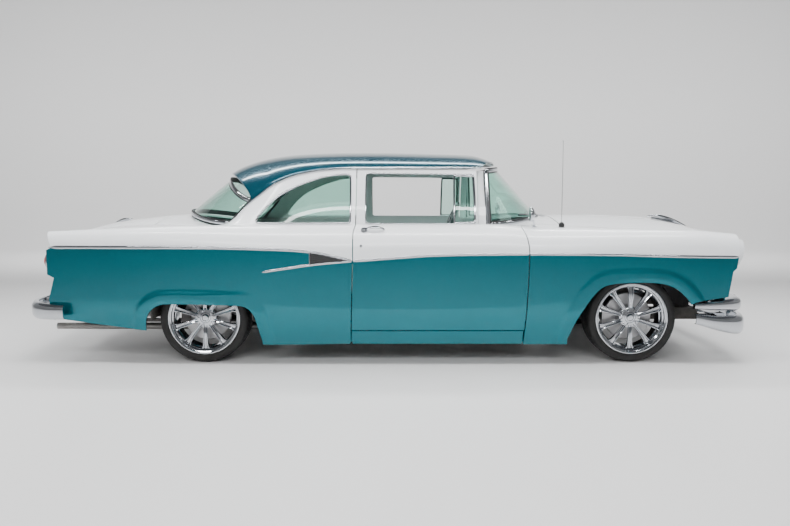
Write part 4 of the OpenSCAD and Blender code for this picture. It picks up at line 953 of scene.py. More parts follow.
@dataclass
class SidePanels:
    """Fenders, doors, quarter panels and rockers: the car's two painted sides."""

    body: BodyShape
    finishes: Finishes
    sheet: float = 13.0
    cell: float = 11.0
    fender_low: Curve = field(init=False)
    quarter_low: Curve = field(init=False)

    def __post_init__(self) -> None:
        """Sets up the panels' lower edges and the windows' outlines."""
        self.fender_low = Curve([
            (943, 134), (1235, 136), (1375, 138), (2005, 388), (2073, 430), (2215, 452), (2375, 470),
        ])
        self.quarter_low = Curve([
            (-2305, 318), (-2197, 304), (-1642, 233), (-959, 138), (-233, 138),
        ])
        self.quarter_window = [
            (-903, 984), (-888, 1008), (-839, 1067), (-749, 1147), (-635, 1209), (-520, 1253), (-405, 1283),
            (-285, 1293), (-263, 1286), (-257, 1268), (-257, 975), (-263, 962), (-280, 957), (-880, 957),
            (-898, 964),
        ]
        self.door_window = [
            (-150, 966), (-138, 955), (594, 955), (603, 962), (597, 1280), (588, 1289), (-113, 1299),
            (-142, 1296),
            (-150, 1284),
        ]

    def grid(
        self,
        xs: np.ndarray,
        low: Curve,
        upper: int,
        to_y: Callable,
        to_z: Callable,
        rear: bool,
        front: bool,
        house_from: float | None = None,
    ) -> np.ndarray:
        """Outer skin of a panel on the left side, as a grid of points.

        Rows climb the side from the lower edge, go round the shoulder by even angles, and
        end in a stretch to (to_y, to_z). A column's x moves with the door's edge at its end
        of the panel, and less and less over the next 220.

        Args:
            xs: Stations along the car.
            low: Lower edge.
            upper: Rows above the ridge.
            to_y: y of the upper edge, from x.
            to_z: z of the upper edge, from x.
            rear: True if the rear end follows a door's edge.
            front: True if the front end does.
            house_from: x ahead of which the upper stretch is the cabin's side.

        Returns:
            Points [station, row, xyz].
        """
        body = self.body
        rows = int(640 / self.cell)
        q = np.concatenate([np.linspace(0, 1, rows), 1 + np.linspace(0, 1, 17)[1:], 2 + np.linspace(0,
            1, upper + 1)[1:]])
        start = np.broadcast_to(xs[:, None], (len(xs), len(q)))
        x = start.copy()
        a = np.clip(q - 1, 0, 1) * math.pi / 2
        t = np.clip(q - 2, 0, 1)
        for _ in range(4):
            foot, lowest = body.round_foot(x), low(x)
            z = lowest + (foot - lowest) * np.clip(q, 0, 1) + body.round_up(x) * np.sin(a)
            z = z + (to_z(x) - body.shoulder(x)) * t
            shift = np.zeros_like(x)
            if front:
                edge = body.door_front(z) - 943 if start[-1, 0] > 900 else body.door_rear(z) + 233
                shift += edge * np.clip(1 - (start[-1, 0] - start) / 220, 0, 1)
            if rear:
                edge = body.door_front(z) - 943 if start[0, 0] > 900 else body.door_rear(z) + 233
                shift += edge * np.clip(1 - (start - start[0, 0]) / 220, 0, 1)
            x = start + shift
        tuck = 84 * (np.maximum(458 - z, 0) / 320) ** 2
        y = body.plan(x) - tuck * (q < 1) - body.round_in(x) * (1 - np.cos(a)) + body.flare(x, z) * (q < 1)
        y = np.minimum(y, SKIN_LIMIT)
        flat = y + (to_y(x) - body.ridge_y(x)) * t
        y = np.where(q > 2, flat, y)
        if house_from is not None:
            lean = body.house_y(x, z)
            w = blend_in(house_from - 60, house_from + 60, x)
            y = np.where(q > 2, flat * (1 - w) + lean * w, y)
        return np.stack([x, y, z], -1)

    def stations(self, x0: float, x1: float) -> np.ndarray:
        """Even stations about a cell apart."""
        return np.linspace(x0, x1, max(3, int((x1 - x0) / self.cell)))

    def arch_cutter(self, edge: np.ndarray) -> Shape:
        """Prism under a wheel arch's edge."""
        outline = np.vstack([edge, [[edge[-1, 0], 20], [edge[0, 0], 20]]])
        return prism(outline, 500, 1100)

    def paint(self, obj: bpy.types.Object) -> None:
        """Gives a painted panel its two-tone attribute."""
        self.body.tone(obj)

    def front_fenders(self) -> None:
        """Front fenders: side, shoulder and top as one skin, a front face with the lamp's hole, and the arch
        cut out.
        """
        body = self.body
        edge = body.hood_edge_y + body.gap
        p = self.grid(
            self.stations(943 + body.gap, body.nose), self.fender_low, 14,
            lambda x: np.full_like(x, edge), body.hood_edge, rear=True, front=False,
        )
        nose = [
            (2372, 1000), (2375, 758), (2361, 658), (2335, 634), (2325, 568), (2299, 418), (2460, 418),
            (2460, 1000),
        ]
        for side in Side:
            cutters = [self.arch_cutter(body.front_edge).on(side), prism(nose, 500, 1100).on(side)]
            obj = piece(
                f"front_fender_skin_{side.word}", shell(p, self.sheet).on(side), self.finishes.paint,
                stands_for=[f"front_fender_{side.word}"], cutters=cutters,
            )
            self.paint(obj)
            self.end_face(f"fender_front_{side.word}", FENDER_FACE, side, 418, 850, 603, (2300, LAMP_Y,
                LAMP_Z, 88))

    def quarters(self) -> None:
        """Quarter panels: rear side, deck edge, rear pillar and the side of the cabin."""
        body = self.body

        def to_y(x: np.ndarray) -> np.ndarray:
            """Inner edge: the deck's, then the drip rail's."""
            w = blend_in(-1180, -1060, x)
            return body.deck_edge_y * (1 - w) + body.rail_y(x) * w

        def to_z(x: np.ndarray) -> np.ndarray:
            """Upper edge: the deck's height, then the drip rail's."""
            w = blend_in(-1200, -1090, x)
            return body.deck_edge(x) * (1 - w) + body.house(x) * w

        p = self.grid(
            self.stations(body.tail, -233 - body.gap), self.quarter_low, 34, to_y, to_z,
            rear=False, front=True, house_from=-1050,
        )
        tail = [
            (-2345, 910), (-2305, 904), (-2271, 798), (-2311, 776), (-2313, 618), (-2259, 592), (-2299, 448),
            (-2285, 288), (-2345, 288),
        ]
        window = prism(through(self.quarter_window, 90, closed=True), 500, 1000)
        for side in Side:
            cutters = [
                self.arch_cutter(body.rear_edge).on(side), prism(tail, 660, 1100).on(side), window.on(side),
            ]
            obj = piece(
                f"quarter_skin_{side.word}", shell(p, self.sheet).on(side), self.finishes.paint,
                stands_for=[f"quarter_panel_{side.word}"], cutters=cutters,
            )
            self.paint(obj)
            self.end_face(f"quarter_end_{side.word}", QUARTER_FACE, side, 300, 896, 618, None)

    def end_face(
        self, name: str, line: Sequence, side: Side, low: float, high: float, inner: float, hole: tuple | None
    ) -> None:
        """Closes a fender's end across the car, from the given width out to the side's skin.

        Its x follows a curve of the height, and a lamp's hole (x, y, z, radius) may be cut in it.
        """
        z = np.linspace(low, high, 50)[:, None] + np.zeros((1, 24))
        x = Curve(line)(z)
        edge = self.body.side_y(x, np.minimum(z, 840)) - 5
        edge = np.minimum(edge, self.body.ridge_y(x) + 60 * (1 - blend_in(800, 900, z)))
        y = inner + (edge - inner) * np.linspace(0, 1, 24)[None]
        p = np.stack([x, y, z], -1)
        cutters = []
        if hole:
            disc = [(0, 120), (hole[3], 120), (hole[3], -60), (0, -60)]
            cutters = [lathe(disc, (hole[0], side.value * hole[1], hole[2]), "x", 64)]
        obj = piece(name, between(p, p - [8 * np.sign(float(x[0, 0])), 0, 0]).on(side), self.finishes.paint,
                    cutters=cutters)
        self.paint(obj)

    def doors(self) -> None:
        """Doors: a thick painted box with its ledge, a window frame above and a trimmed inner face."""
        body = self.body
        low = Curve([(-300, 240), (1000, 240)])
        p = self.grid(
            self.stations(-233, 943), low, 2, lambda x: body.ridge_y(x) - 14, lambda x: body.shoulder(x) - 1,
            rear=True, front=True,
        )
        normal = grid_normals(p)
        normal *= np.sign(normal[len(p) // 2, 5, 1])
        q = p - normal * 92
        ridge = body.ridge_y(p[..., 0])
        q[..., 1] = np.maximum(q[..., 1], ridge - 12)
        q[..., 2] = np.minimum(q[..., 2], np.linspace(860, 900, p.shape[1])[None, :])
        q[..., 2] = np.maximum(q[..., 2], 240)
        xs = self.stations(-211, 617)
        t = np.linspace(0, 1, 38)
        x = np.broadcast_to(xs[:, None], (len(xs), len(t)))
        z = body.shoulder(x) - 6 + (1325 - body.shoulder(x) + 6) * t
        x = x + (body.door_rear(z) + 211) * np.clip(1 - (x + 211) / 60, 0, 1)
        upper = np.stack([x, body.house_y(x, z), z], -1)
        window = prism(through(self.door_window, 80, closed=True), 400, 1000)
        for side in Side:
            name = f"door_{side.word}"
            box = piece(
                f"{name}_skin", between(p, q).on(side), self.finishes.paint, name, stands_for=[name],
            )
            self.paint(box)
            piece(
                f"{name}_window_frame", shell(upper, 24, (0, 0, 1100)).on(side), self.finishes.white, name,
                cutters=[window.on(side)],
            )
            self.door_lining(q, side)

    def door_lining(self, inner: np.ndarray, side: Side) -> None:
        """Inside of a door: padded panel in two colours, armrest, handle and window crank."""
        name, f = f"door_{side.word}", self.finishes
        x = np.linspace(-180, 860, 90)[:, None] + np.zeros((1, 50))
        z = np.linspace(275, 905, 50)[None, :] + np.zeros((90, 1))
        base = self.body.side_y(x, np.minimum(z, 700)) - 92
        base = np.minimum(base, self.body.ridge_y(x) + 90 - 92 * blend_in(600, 880, z))
        pleat = 2.5 * np.abs(np.sin(np.pi * x / 62)) * blend_in(560, 580, z) * (1 - blend_in(800, 820, z))
        edge = np.minimum(
            np.minimum(x + 180, 860 - x) / 30, np.minimum(z - 275, 905 - z) / 30
        )
        face = base - 2 - 7 * np.sqrt(np.clip(edge, 0, 1)) - pleat
        split = 28
        lower = np.stack([x, face, z], -1)[:, :split]
        top = np.stack([x, face, z], -1)[:, split - 1:]
        back_low, back_top = lower + [0, 6, 0], top + [0, 6, 0]
        piece(f"{name}_lining_lower", between(back_low, lower).on(side), f.trim, name)
        piece(f"{name}_lining_upper", between(back_top, top).on(side), f.vinyl, name)
        y = float(base[45, 25]) - 34
        path = through([(120, y + 26, 640), (150, y, 650), (420, y, 662), (450, y + 26, 655)], 30)
        piece(f"{name}_armrest", sweep(path, (0, 0, 1), rounded(46, 40)).on(side), f.trim, name)
        knob = [(0, 0), (9, 2), (11, 9), (8, 16), (0, 18)]
        crank = through([(560, y + 20, 700), (600, y + 8, 690), (650, y + 4, 678)], 14)
        handle = through([(640, y + 18, 800), (600, y + 6, 800), (530, y + 4, 796)], 14)
        piece(
            f"{name}_crank_and_handle",
            [
                sweep(crank, (0, 1, 0), rounded(12, 7)).on(side),
                sweep(handle, (0, 1, 0), rounded(14, 7)).on(side),
                lathe(knob, (650, side.value * (y - 8), 678), "y", 24, -side.value),
                lathe(knob, (560, side.value * (y + 16), 700), "y", 24, -side.value),
                lathe(knob, (640, side.value * (y + 14), 800), "y", 24, -side.value),
            ],
            f.chrome, name,
        )

    def rockers(self) -> None:
        """Rocker panels under the doors."""
        body = self.body
        xs = self.stations(-240, 917)
        t = np.linspace(0, 1, 14)
        x = np.broadcast_to(xs[:, None], (len(xs), len(t)))
        z = 138 + (233 - 138) * t + 0 * x
        p = np.stack([x, body.side_y(x, z), z], -1)
        for side in Side:
            sill = box_shape((-829, side.value * 760, 142), (1110, side.value * 826, 218))
            piece(
                f"rocker_skin_{side.word}", [shell(p, 30).on(side), sill], self.finishes.teal,
                stands_for=["rocker_panels"] if side is Side.LEFT else (),
            )


@dataclass
class Glasshouse:
    """Roof, windshield, backlight, side glass and the bright trim round them."""

    body: BodyShape
    finishes: Finishes
    screen_base: tuple = (691, 461, 754, 984, 36)
    screen_top: tuple = (680, 153, 674, 1337, 20)
    back_base: tuple = (-1093, -435, 668, 1017, 66)
    back_top: tuple = (-953, -270, 620, 1265, 154)

    def __post_init__(self) -> None:
        """Sets up the roof's crown."""
        self.crown = Curve([
            (-1209, 1310), (-1117, 1361), (-986, 1406), (-829, 1438), (-660, 1455), (-400, 1465), (-75, 1467),
            (348, 1458), (608, 1448), (699, 1426), (764, 1393), (804, 1374),
        ])
        self.rail = Curve([
            (-1209, 915), (-959, 1103), (-901, 1145), (-815, 1209), (-699, 1267), (-582, 1301), (-466, 1322),
            (-293, 1333), (943, 1335),
        ])

    def bow(self, e: Sequence[float], a: np.ndarray, depth: float = 0) -> np.ndarray:
        """Bowed edge of a pane: a superellipse of power 1.75 in plan, dropping with |sin a|^2.4."""
        c, s = np.maximum(np.cos(a), 0), np.sin(a)
        power = 2 / 1.75
        return np.stack([
            e[0] + (e[1] - math.copysign(depth, e[1])) * c**power,
            (e[2] - depth) * np.sign(s) * np.abs(s) ** power,
            e[3] - e[4] * np.abs(s) ** 2.4,
        ], -1)

    def pane(
        self, base: Sequence[float], top: Sequence[float], u: np.ndarray, reach: float, depth: float,
        count: int = 90
    ) -> np.ndarray:
        """Grid over a wrapped pane: straight leans from its base curve to its top curve.

        Args:
            base: The base curve's sizes.
            top: The top curve's sizes.
            u: Shares of the way up, one row each.
            reach: How far round the pane goes to each side, in degrees.
            depth: How far inside the outer face.
            count: Steps across.

        Returns:
            Points [across, up, xyz], bulged out by up to 9 halfway up.
        """
        a = np.radians(np.linspace(-reach, reach, count))
        p, q = self.bow(base, a, depth), self.bow(top, a, depth)
        grid = p[:, None] + (q - p)[:, None] * u[None, :, None]
        out = np.stack([np.cos(a) * np.sign(base[1]), np.sin(a), 0.3 * np.ones_like(a)], 1)
        return grid + (9 * np.sin(np.pi * np.clip(u, 0, 1)))[None, :, None] * out[:, None] * 0.6

    def roof_grid(self, drop: float = 0.0, rows: int = 110, columns: int = 97) -> np.ndarray:
        """Roof skin: u runs back to front between bowed ends, v across from rail to rail.

        Height is the rail's plus the crown's rise times (1 - |v|^2.5)^0.66.
        """
        u = np.linspace(0, 1, rows)[:, None]
        v = np.sin(np.linspace(-math.pi / 2, math.pi / 2, columns))[None, :]
        x = (-1209 + 250 * v**2) * (1 - u) + (804 - 150 * np.abs(v) ** 2.5) * u
        low, top = self.rail(x), self.crown(x)
        y = v * (self.body.rail_y(x) + 3 - drop * np.abs(v) ** 6)
        rise = (1 - np.abs(v) ** 2.5).clip(0, 1) ** 0.66
        return np.stack([x, y + 0 * u, low + (top - low) * rise - drop * (1 - np.abs(v) ** 6)], -1)

    def roof(self) -> None:
        """Painted roof skin, its lining and the drip rails."""
        f = self.finishes
        outer = self.roof_grid()
        piece(
            "roof_skin", between(outer, self.roof_grid(9)), f.roof,
            stands_for=["roof"], sharp=50
        )
        lining = self.roof_grid(20)[3:-3, 4:-4]
        inner = self.roof_grid(24)[3:-3, 4:-4]
        piece("headliner", between(lining, inner), f.vinyl)
        x = np.concatenate([np.linspace(-1000, -466, 50), np.linspace(-450, 650, 60)])
        section = np.array([(-8, -5), (9, -5), (13, 0), (13, 6), (9, 8), (7, 3), (-8, 3)], float)
        for side in Side:
            path, out = self.body.house_path(x, self.body.house(x))
            path[:, 2] = self.body.house(x) - 1
            rail = sweep(path, (0, 0, 1), section * [-1, 1])
            piece(f"drip_rail_{side.word}", rail.on(side), f.chrome)

    def windshield(self) -> None:
        """Wrapped windshield with its gasket and bright surround, and the wipers."""
        f = self.finishes
        u = np.linspace(0.03, 0.97, 24)
        piece(
            "windshield_pane",
            between(
                self.pane(self.screen_base, self.screen_top, u, 87.6, 7),
                self.pane(self.screen_base, self.screen_top, u, 87.6, 12),
            ),
            f.glass, stands_for=["windshield"],
        )
        self.surround("windshield", self.screen_base, self.screen_top, 88.5, f)
        self.wipers()

    def surround(self, name: str, base: Sequence[float], top: Sequence[float], reach: float,
        f: Finishes) -> None:
        """Black gasket and bright moulding round a wrapped pane."""
        a = np.radians(np.linspace(-reach, reach, 120))
        edge = [(0.0, self.bow(base, a, 3)), (1.0, self.bow(top, a, 3))]
        low, high = edge[0][1], edge[1][1]
        side = np.linspace(0, 1, 40)[1:-1, None]
        right = low[0] + (high[0] - low[0]) * side
        left = low[-1] + (high[-1] - low[-1]) * side
        loop = np.vstack([low, left, high[::-1], right[::-1]])
        loop = through(loop[::4], 240, closed=True)
        middle = loop.mean(0)
        out = unit(np.stack([loop[:, 0] - 0.5 * middle[0] - 0.5 * base[0], loop[:, 1] * 0.9,
            0 * loop[:, 0]], 1))
        piece(f"{name}_gasket", sweep(loop, out, rounded(40, 12), closed=True), f.black)
        piece(f"{name}_moulding", sweep(loop + out * 4, out, half_round(26, 7), closed=True), f.chrome)

    def wipers(self) -> None:
        """Two wipers parked along the windshield's foot, each an arm, a blade and its pivot."""
        f = self.finishes
        shapes, rubber = [], []
        for start in (-250, 260):
            sweep_to = start - 330 if start < 0 else start - 400
            y = np.linspace(start, sweep_to, 30)
            a = np.arcsin(np.clip(np.abs(y) / PANE_HALF, 0, 1) ** PANE_CURVE) * np.sign(y)
            foot, head = self.bow(self.screen_base, a, -6), self.bow(self.screen_top, a, -6)
            lift = np.linspace(0.02, 0.12, 30)[:, None]
            path = foot + (head - foot) * lift
            shapes.append(sweep(path + [8, 0, 6], (1, 0, 1), rounded(9, 6), np.linspace(1.1, 0.6, 30)))
            shapes.append(lathe([(0, 0), (13, 0), (13, 12), (8, 20), (0, 21)], path[0] + [14, 0, -8],
                "z", 24))
            blade = foot + (head - foot) * (lift * 0.5 + 0.05)
            shapes.append(sweep(blade[8:] + [2, 0, 6], (1, 0, 0.5), rounded(7, 7)))
            rubber.append(sweep(blade[8:] + [0, 0, 1], (1, 0, 0.5), rounded(5, 10)))
        piece("wiper_arms", shapes, f.chrome)
        piece("wiper_rubbers", rubber, f.black)

    def backlight(self) -> None:
        """Wrapped rear window with its surround."""
        f = self.finishes
        u = np.linspace(0.05, 0.95, 24)
        piece(
            "backlight_pane",
            between(
                self.pane(self.back_base, self.back_top, u, 86, 7),
                self.pane(self.back_base, self.back_top, u, 86, 12),
            ),
            f.glass, stands_for=["rear_window"],
        )
        self.surround("backlight", self.back_base, self.back_top, 89, f)

    def side_glass(self, panels: "SidePanels") -> None:
        """Quarter windows and vent windows, each with its bright frame."""
        quarter = np.asarray(panels.quarter_window, float)
        loop = through(quarter, 160, closed=True)
        vent = through([
            (462, 962), (590, 962), (598, 970), (591, 1272), (583, 1281), (468, 1286), (461, 1278),
            (458, 970),
        ], 120, closed=True)
        for side in Side:
            self.flat_pane(f"quarter_pane_{side.word}", loop, 16, side, "body",
                           ["quarter_glass"] if side is Side.LEFT else [])
            self.frame_loop(f"quarter_window_frame_{side.word}", loop, side, "body", 13, 5)
            self.flat_pane(f"vent_pane_{side.word}", vent, 14, side, f"door_{side.word}",
                           [f"vent_window_{side.word}"])
            self.frame_loop(f"vent_frame_{side.word}", vent, side, f"door_{side.word}", 14, 9, 8)
            door = through(panels.door_window, 160, closed=True)
            self.frame_loop(f"door_window_reveal_{side.word}", door, side, f"door_{side.word}", 9, 4)

    def flat_pane(
        self, name: str, loop: np.ndarray, depth: float, side: Side, rides: str, nodes: Sequence[str]
    ) -> None:
        """Pane that fills a side-view loop: rings drawn in from the loop to its middle."""
        middle = loop.mean(0)
        s = np.linspace(1, 0.02, 14)[None, :, None]
        ring = middle + (loop[:, None] - middle) * s
        x, z = ring[..., 0], ring[..., 1]
        outer = np.stack([x, self.body.house_y(x, z) - depth, z], -1)
        inner = outer - [0, 5, 0]
        n, m = outer.shape[:2]
        points = np.vstack([outer.reshape(-1, 3), inner.reshape(-1, 3)])
        wall = grid_faces(n, m, True)
        i = np.arange(n)
        j = (i + 1) % n
        rim = np.stack([i * m, i * m + n * m, j * m + n * m, j * m], 1)
        cap = (i * m + m - 1)[None, :]
        shape = Shape(points, [wall, wall[:, ::-1] + n * m, rim, cap, cap[:, ::-1] + n * m]).outward()
        piece(name, shape.on(side), self.finishes.glass, rides, stands_for=nodes)

    def frame_loop(
        self, name: str, loop: np.ndarray, side: Side, rides: str, width: float, height: float,
        drop: float = 0.0
    ) -> None:
        """Bright moulding round a side-view loop on the cabin's side."""
        path, out = self.body.house_path(loop[:, 0], loop[:, 1])
        bar = sweep(path - out * drop, out, half_round(width, height), closed=True)
        piece(name, bar.on(side), self.finishes.chrome, rides)


@dataclass
class Lids:
    """Hood, trunk lid, the decks between them, the nose panel and the tail panel."""

    body: BodyShape
    finishes: Finishes
    glasshouse: Glasshouse
    sheet: float = 13.0

    def hood(self) -> None:
        """Hood skin with a raised middle windsplit, on its hinge body."""
        x = np.linspace(1213, 2383, 120)[:, None]
        y = np.linspace(-660, 660, 121)[None, :]
        z = self.body.hood_z(x, y)
        ridge = 5 * np.exp(-((y / 26) ** 2)) * blend_in(1300, 1700, x) * (1 - blend_in(2290, 2380, x))
        p = np.stack([x + 0 * y, y + 0 * x, z + ridge], -1)
        under = p - [0, 0, self.sheet]
        piece("hood_skin", between(p, under), self.finishes.white, "hood", stands_for=["hood"])
        self.hood_ornament()

    def hood_ornament(self) -> None:
        """Jet-shaped ornament: a slim body that swells and tapers, with two swept wings."""
        f = self.finishes
        s = np.linspace(0, 1, 40)
        x = 2036 + 343 * s
        z = self.body.hood_mid(x) + 12 + 26 * np.sin(np.pi * s**0.7) * (1 - 0.5 * s)
        size = np.maximum(np.sin(np.pi * np.clip(s * 0.94 + 0.04, 0, 1)) ** 0.7, 0.03)
        path = np.stack([x, 0 * x, z], 1)
        jet = sweep(path, (0, 0, 1), rounded(34, 26, 2.4), size)
        wings = []
        for sign in (-1, 1):
            t = np.linspace(0, 1, 16)
            wing = np.stack([2230 - 110 * t, sign * (8 + 92 * t), self.body.hood_z(2230 - 110 * t,
                92 * t) + 22], 1)
            wings.append(sweep(wing, (0, 0, 1), rounded(74, 7, 2.2), 1 - 0.72 * t))
        foot = sweep(
            np.stack([np.linspace(2070, 2330, 12), np.zeros(12), self.body.hood_mid(np.linspace(2070,
                2330, 12)) + 6], 1),
            (0, 0, 1), rounded(16, 22, 3),
        )
        piece("hood_ornament", [jet, *wings, foot], f.chrome, "hood")

    def trunk(self) -> None:
        """Trunk lid: the deck's surface, turned down over the tail by a smooth path at each y."""
        y = np.linspace(-613, 613, 91)
        rows = []
        for k in y:
            tail = -2335 + 60 * (abs(k) / 620) ** 2.4
            top = [(x, float(self.body.deck_z(np.array(x), np.array(k)))) for x in np.linspace(-1651,
                -2257, 14)]
            down = [
                (tail + 34, 862 - 20 * (k / 620) ** 2), (tail + 10, 820), (tail, 750), (tail - 4, 650),
                (tail, 562),
            ]
            rows.append(through(top + down, 90))
        p = np.stack([np.insert(r, 1, k, axis=1) for r, k in zip(rows, y)])
        tone = self.finishes.paint
        lid = piece(
            "trunk_lid_skin", shell(p, self.sheet, (0, 0, 700)), tone, "trunk_lid", stands_for=["trunk_lid"],
        )
        self.body.tone(lid)
        f = self.finishes
        s = np.linspace(0, 1, 24)
        x = -2160 + 140 * s
        fin = np.stack([x, 0 * x, self.body.deck_mid(x) + 5 + 8 * np.sin(np.pi * s)], 1)
        piece("trunk_ornament", sweep(fin, (0, 0, 1), rounded(16, 22, 2.4),
            0.25 + 0.75 * np.sin(np.pi * s)), f.chrome,
              "trunk_lid")
        tail = np.linspace(-560, 560, 60)
        path = np.stack([-2342 + 60 * (np.abs(tail) / 620) ** 2.4, tail, 640 + 0 * tail], 1)
        piece("trunk_moulding", sweep(path, (-1, 0, 0), half_round(22, 9)), f.chrome, "trunk_lid")

    def rear_deck(self) -> None:
        """Panel between the trunk lid and the rear window, with the shelf inside it."""
        g = self.glasshouse
        y = np.linspace(-619, 619, 81)
        a = np.arcsin(np.clip(np.abs(y) / 668, 0, 1) ** (1.75 / 2))
        edge = g.bow(g.back_base, a, 0)[:, 0] + 6
        t = np.linspace(0, 1, 24)
        x = -1644 + (edge[:, None] + 1644) * t[None]
        yy = np.broadcast_to(y[:, None], x.shape)
        z = self.body.deck_z(x, yy)
        p = np.stack([x, yy, z], -1)
        piece(
            "rear_deck_skin", between(p, p - [0, 0, 14]), self.finishes.white, stands_for=["rear_deck"],
        )
        shelf = box_shape((-1500, -600, 862), (-860, 600, 878))
        piece("parcel_shelf", shelf, self.finishes.carpet, bevel=4)
        f = self.finishes
        for side in Side:
            top = g.bow(g.back_top, np.radians([88.0]), 0)[0]
            foot = g.bow(g.back_base, np.radians([88.0]), 0)[0]
            s = np.linspace(0, 1, 26)[:, None, None]
            w = np.linspace(0, 1, 8)[None, :, None]
            xs = np.linspace(-1109, -959, 26)
            outer = np.stack([xs, self.body.house_y(xs, self.body.house(xs)), self.body.house(xs)],
                1)[:, None]
            inner = (foot + (top - foot) * s) + [0, -14, -4]
            face = outer * (1 - w) + inner * w
            piece(f"rear_pillar_face_{side.word}", between(face, face - [6, 12, 12]).on(side), f.white)

    def cowl(self) -> None:
        """Cowl between the hood and the windshield, with its grille, and the pillars' feet."""
        g, f = self.glasshouse, self.finishes
        y = np.linspace(-666, 666, 101)
        a = np.arcsin(np.clip(np.abs(y) / PANE_HALF, 0, 1) ** PANE_CURVE)
        edge = g.bow(g.screen_base, a, 0)[:, 0] - 8
        t = np.linspace(0, 1, 20)
        x = edge[:, None] + (1206 - edge[:, None]) * t[None]
        yy = np.broadcast_to(y[:, None], x.shape)
        z = self.body.hood_z(np.maximum(x, 1063), yy)
        p = np.stack([x, yy, z - 1], -1)
        piece("cowl_skin", between(p, p - [0, 0, 14]), f.white)
        side_x = np.linspace(640, 942, 40)
        for side in Side:
            s = np.linspace(0, 1, 12)
            xx = np.broadcast_to(side_x[:, None], (40, 12))
            inner = np.full(40, 640.0)
            outer = self.body.ridge_y(side_x) - 15
            w = inner[:, None] + (outer - inner)[:, None] * s[None]
            low = self.body.shoulder(xx) - 3
            grid = np.stack([xx, w, low], -1)
            piece(f"cowl_side_{side.word}", between(grid, grid - [0, 0, 12]).on(side), f.white)
        bars = [
            sweep(np.stack([
                np.full(24, 1186.0 - 7 * k), np.linspace(-240, 240, 24),
                self.body.hood_z(np.full(24, 1186.0 - 7 * k), np.linspace(-240, 240, 24)) + 1,
            ], 1), (0, 0, 1), half_round(4, 2.5))
            for k in range(5)
        ]
        piece("cowl_vent_bars", bars, f.chrome)

    def nose(self) -> None:
        """Nose panel between the lamps, which rolls under to the grille's mouth."""
        f = self.finishes
        v = np.linspace(-1, 1, 91)
        top = 811.0
        prof = through([(-26, 0), (-4, -14), (0, -50), (-12, -120), (-46, -190)], 26)
        x0 = 2371 + 26 * (1 - v**2)
        p = np.stack([
            x0[:, None] + prof[None, :, 0],
            (v * 658)[:, None] + 0 * prof[None, :, 0],
            top + prof[None, :, 1] + 0 * v[:, None],
        ], -1)
        piece("nose_skin", shell(p, 12, (0, 0, 640)), f.teal, stands_for=["nose_panel"])
        s = np.linspace(-1, 1, 60)
        lip = np.stack([2373 + 26 * (1 - s**2), s * 610, 726 - 20 * s**2], 1)
        piece("nose_moulding", sweep(lip, (1, 0, 0), half_round(18, 8)), f.chrome)

    def tail(self) -> None:
        """Tail panel under the trunk lid, with a valance below it and a blank plate."""
        f = self.finishes
        y = np.linspace(-616, 616, 61)
        z = np.linspace(420, 553, 12)
        x = -2331 + 60 * (np.abs(y) / 620) ** 2.4
        p = np.stack([x[:, None] + 0 * z, y[:, None] + 0 * z, z[None] + 0 * y[:, None]], -1)
        piece("tail_skin", between(p, p + [12, 0, 0]), f.teal, stands_for=["tail_panel"])
        low = np.linspace(424, 336, 10)
        under = np.stack([
            x[:, None] + 30 * ((424 - low[None]) / 88) ** 2, y[:, None] + 0 * low, low[None] + 0 * y[:, None],
        ], -1)
        piece("tail_valance", between(under, under + [10, 0, 0]), f.teal)
        plate = box_shape((-2346, -152, 470), (-2338, 152, 548))
        piece("number_plate_blank", plate, f.ivory, bevel=3)


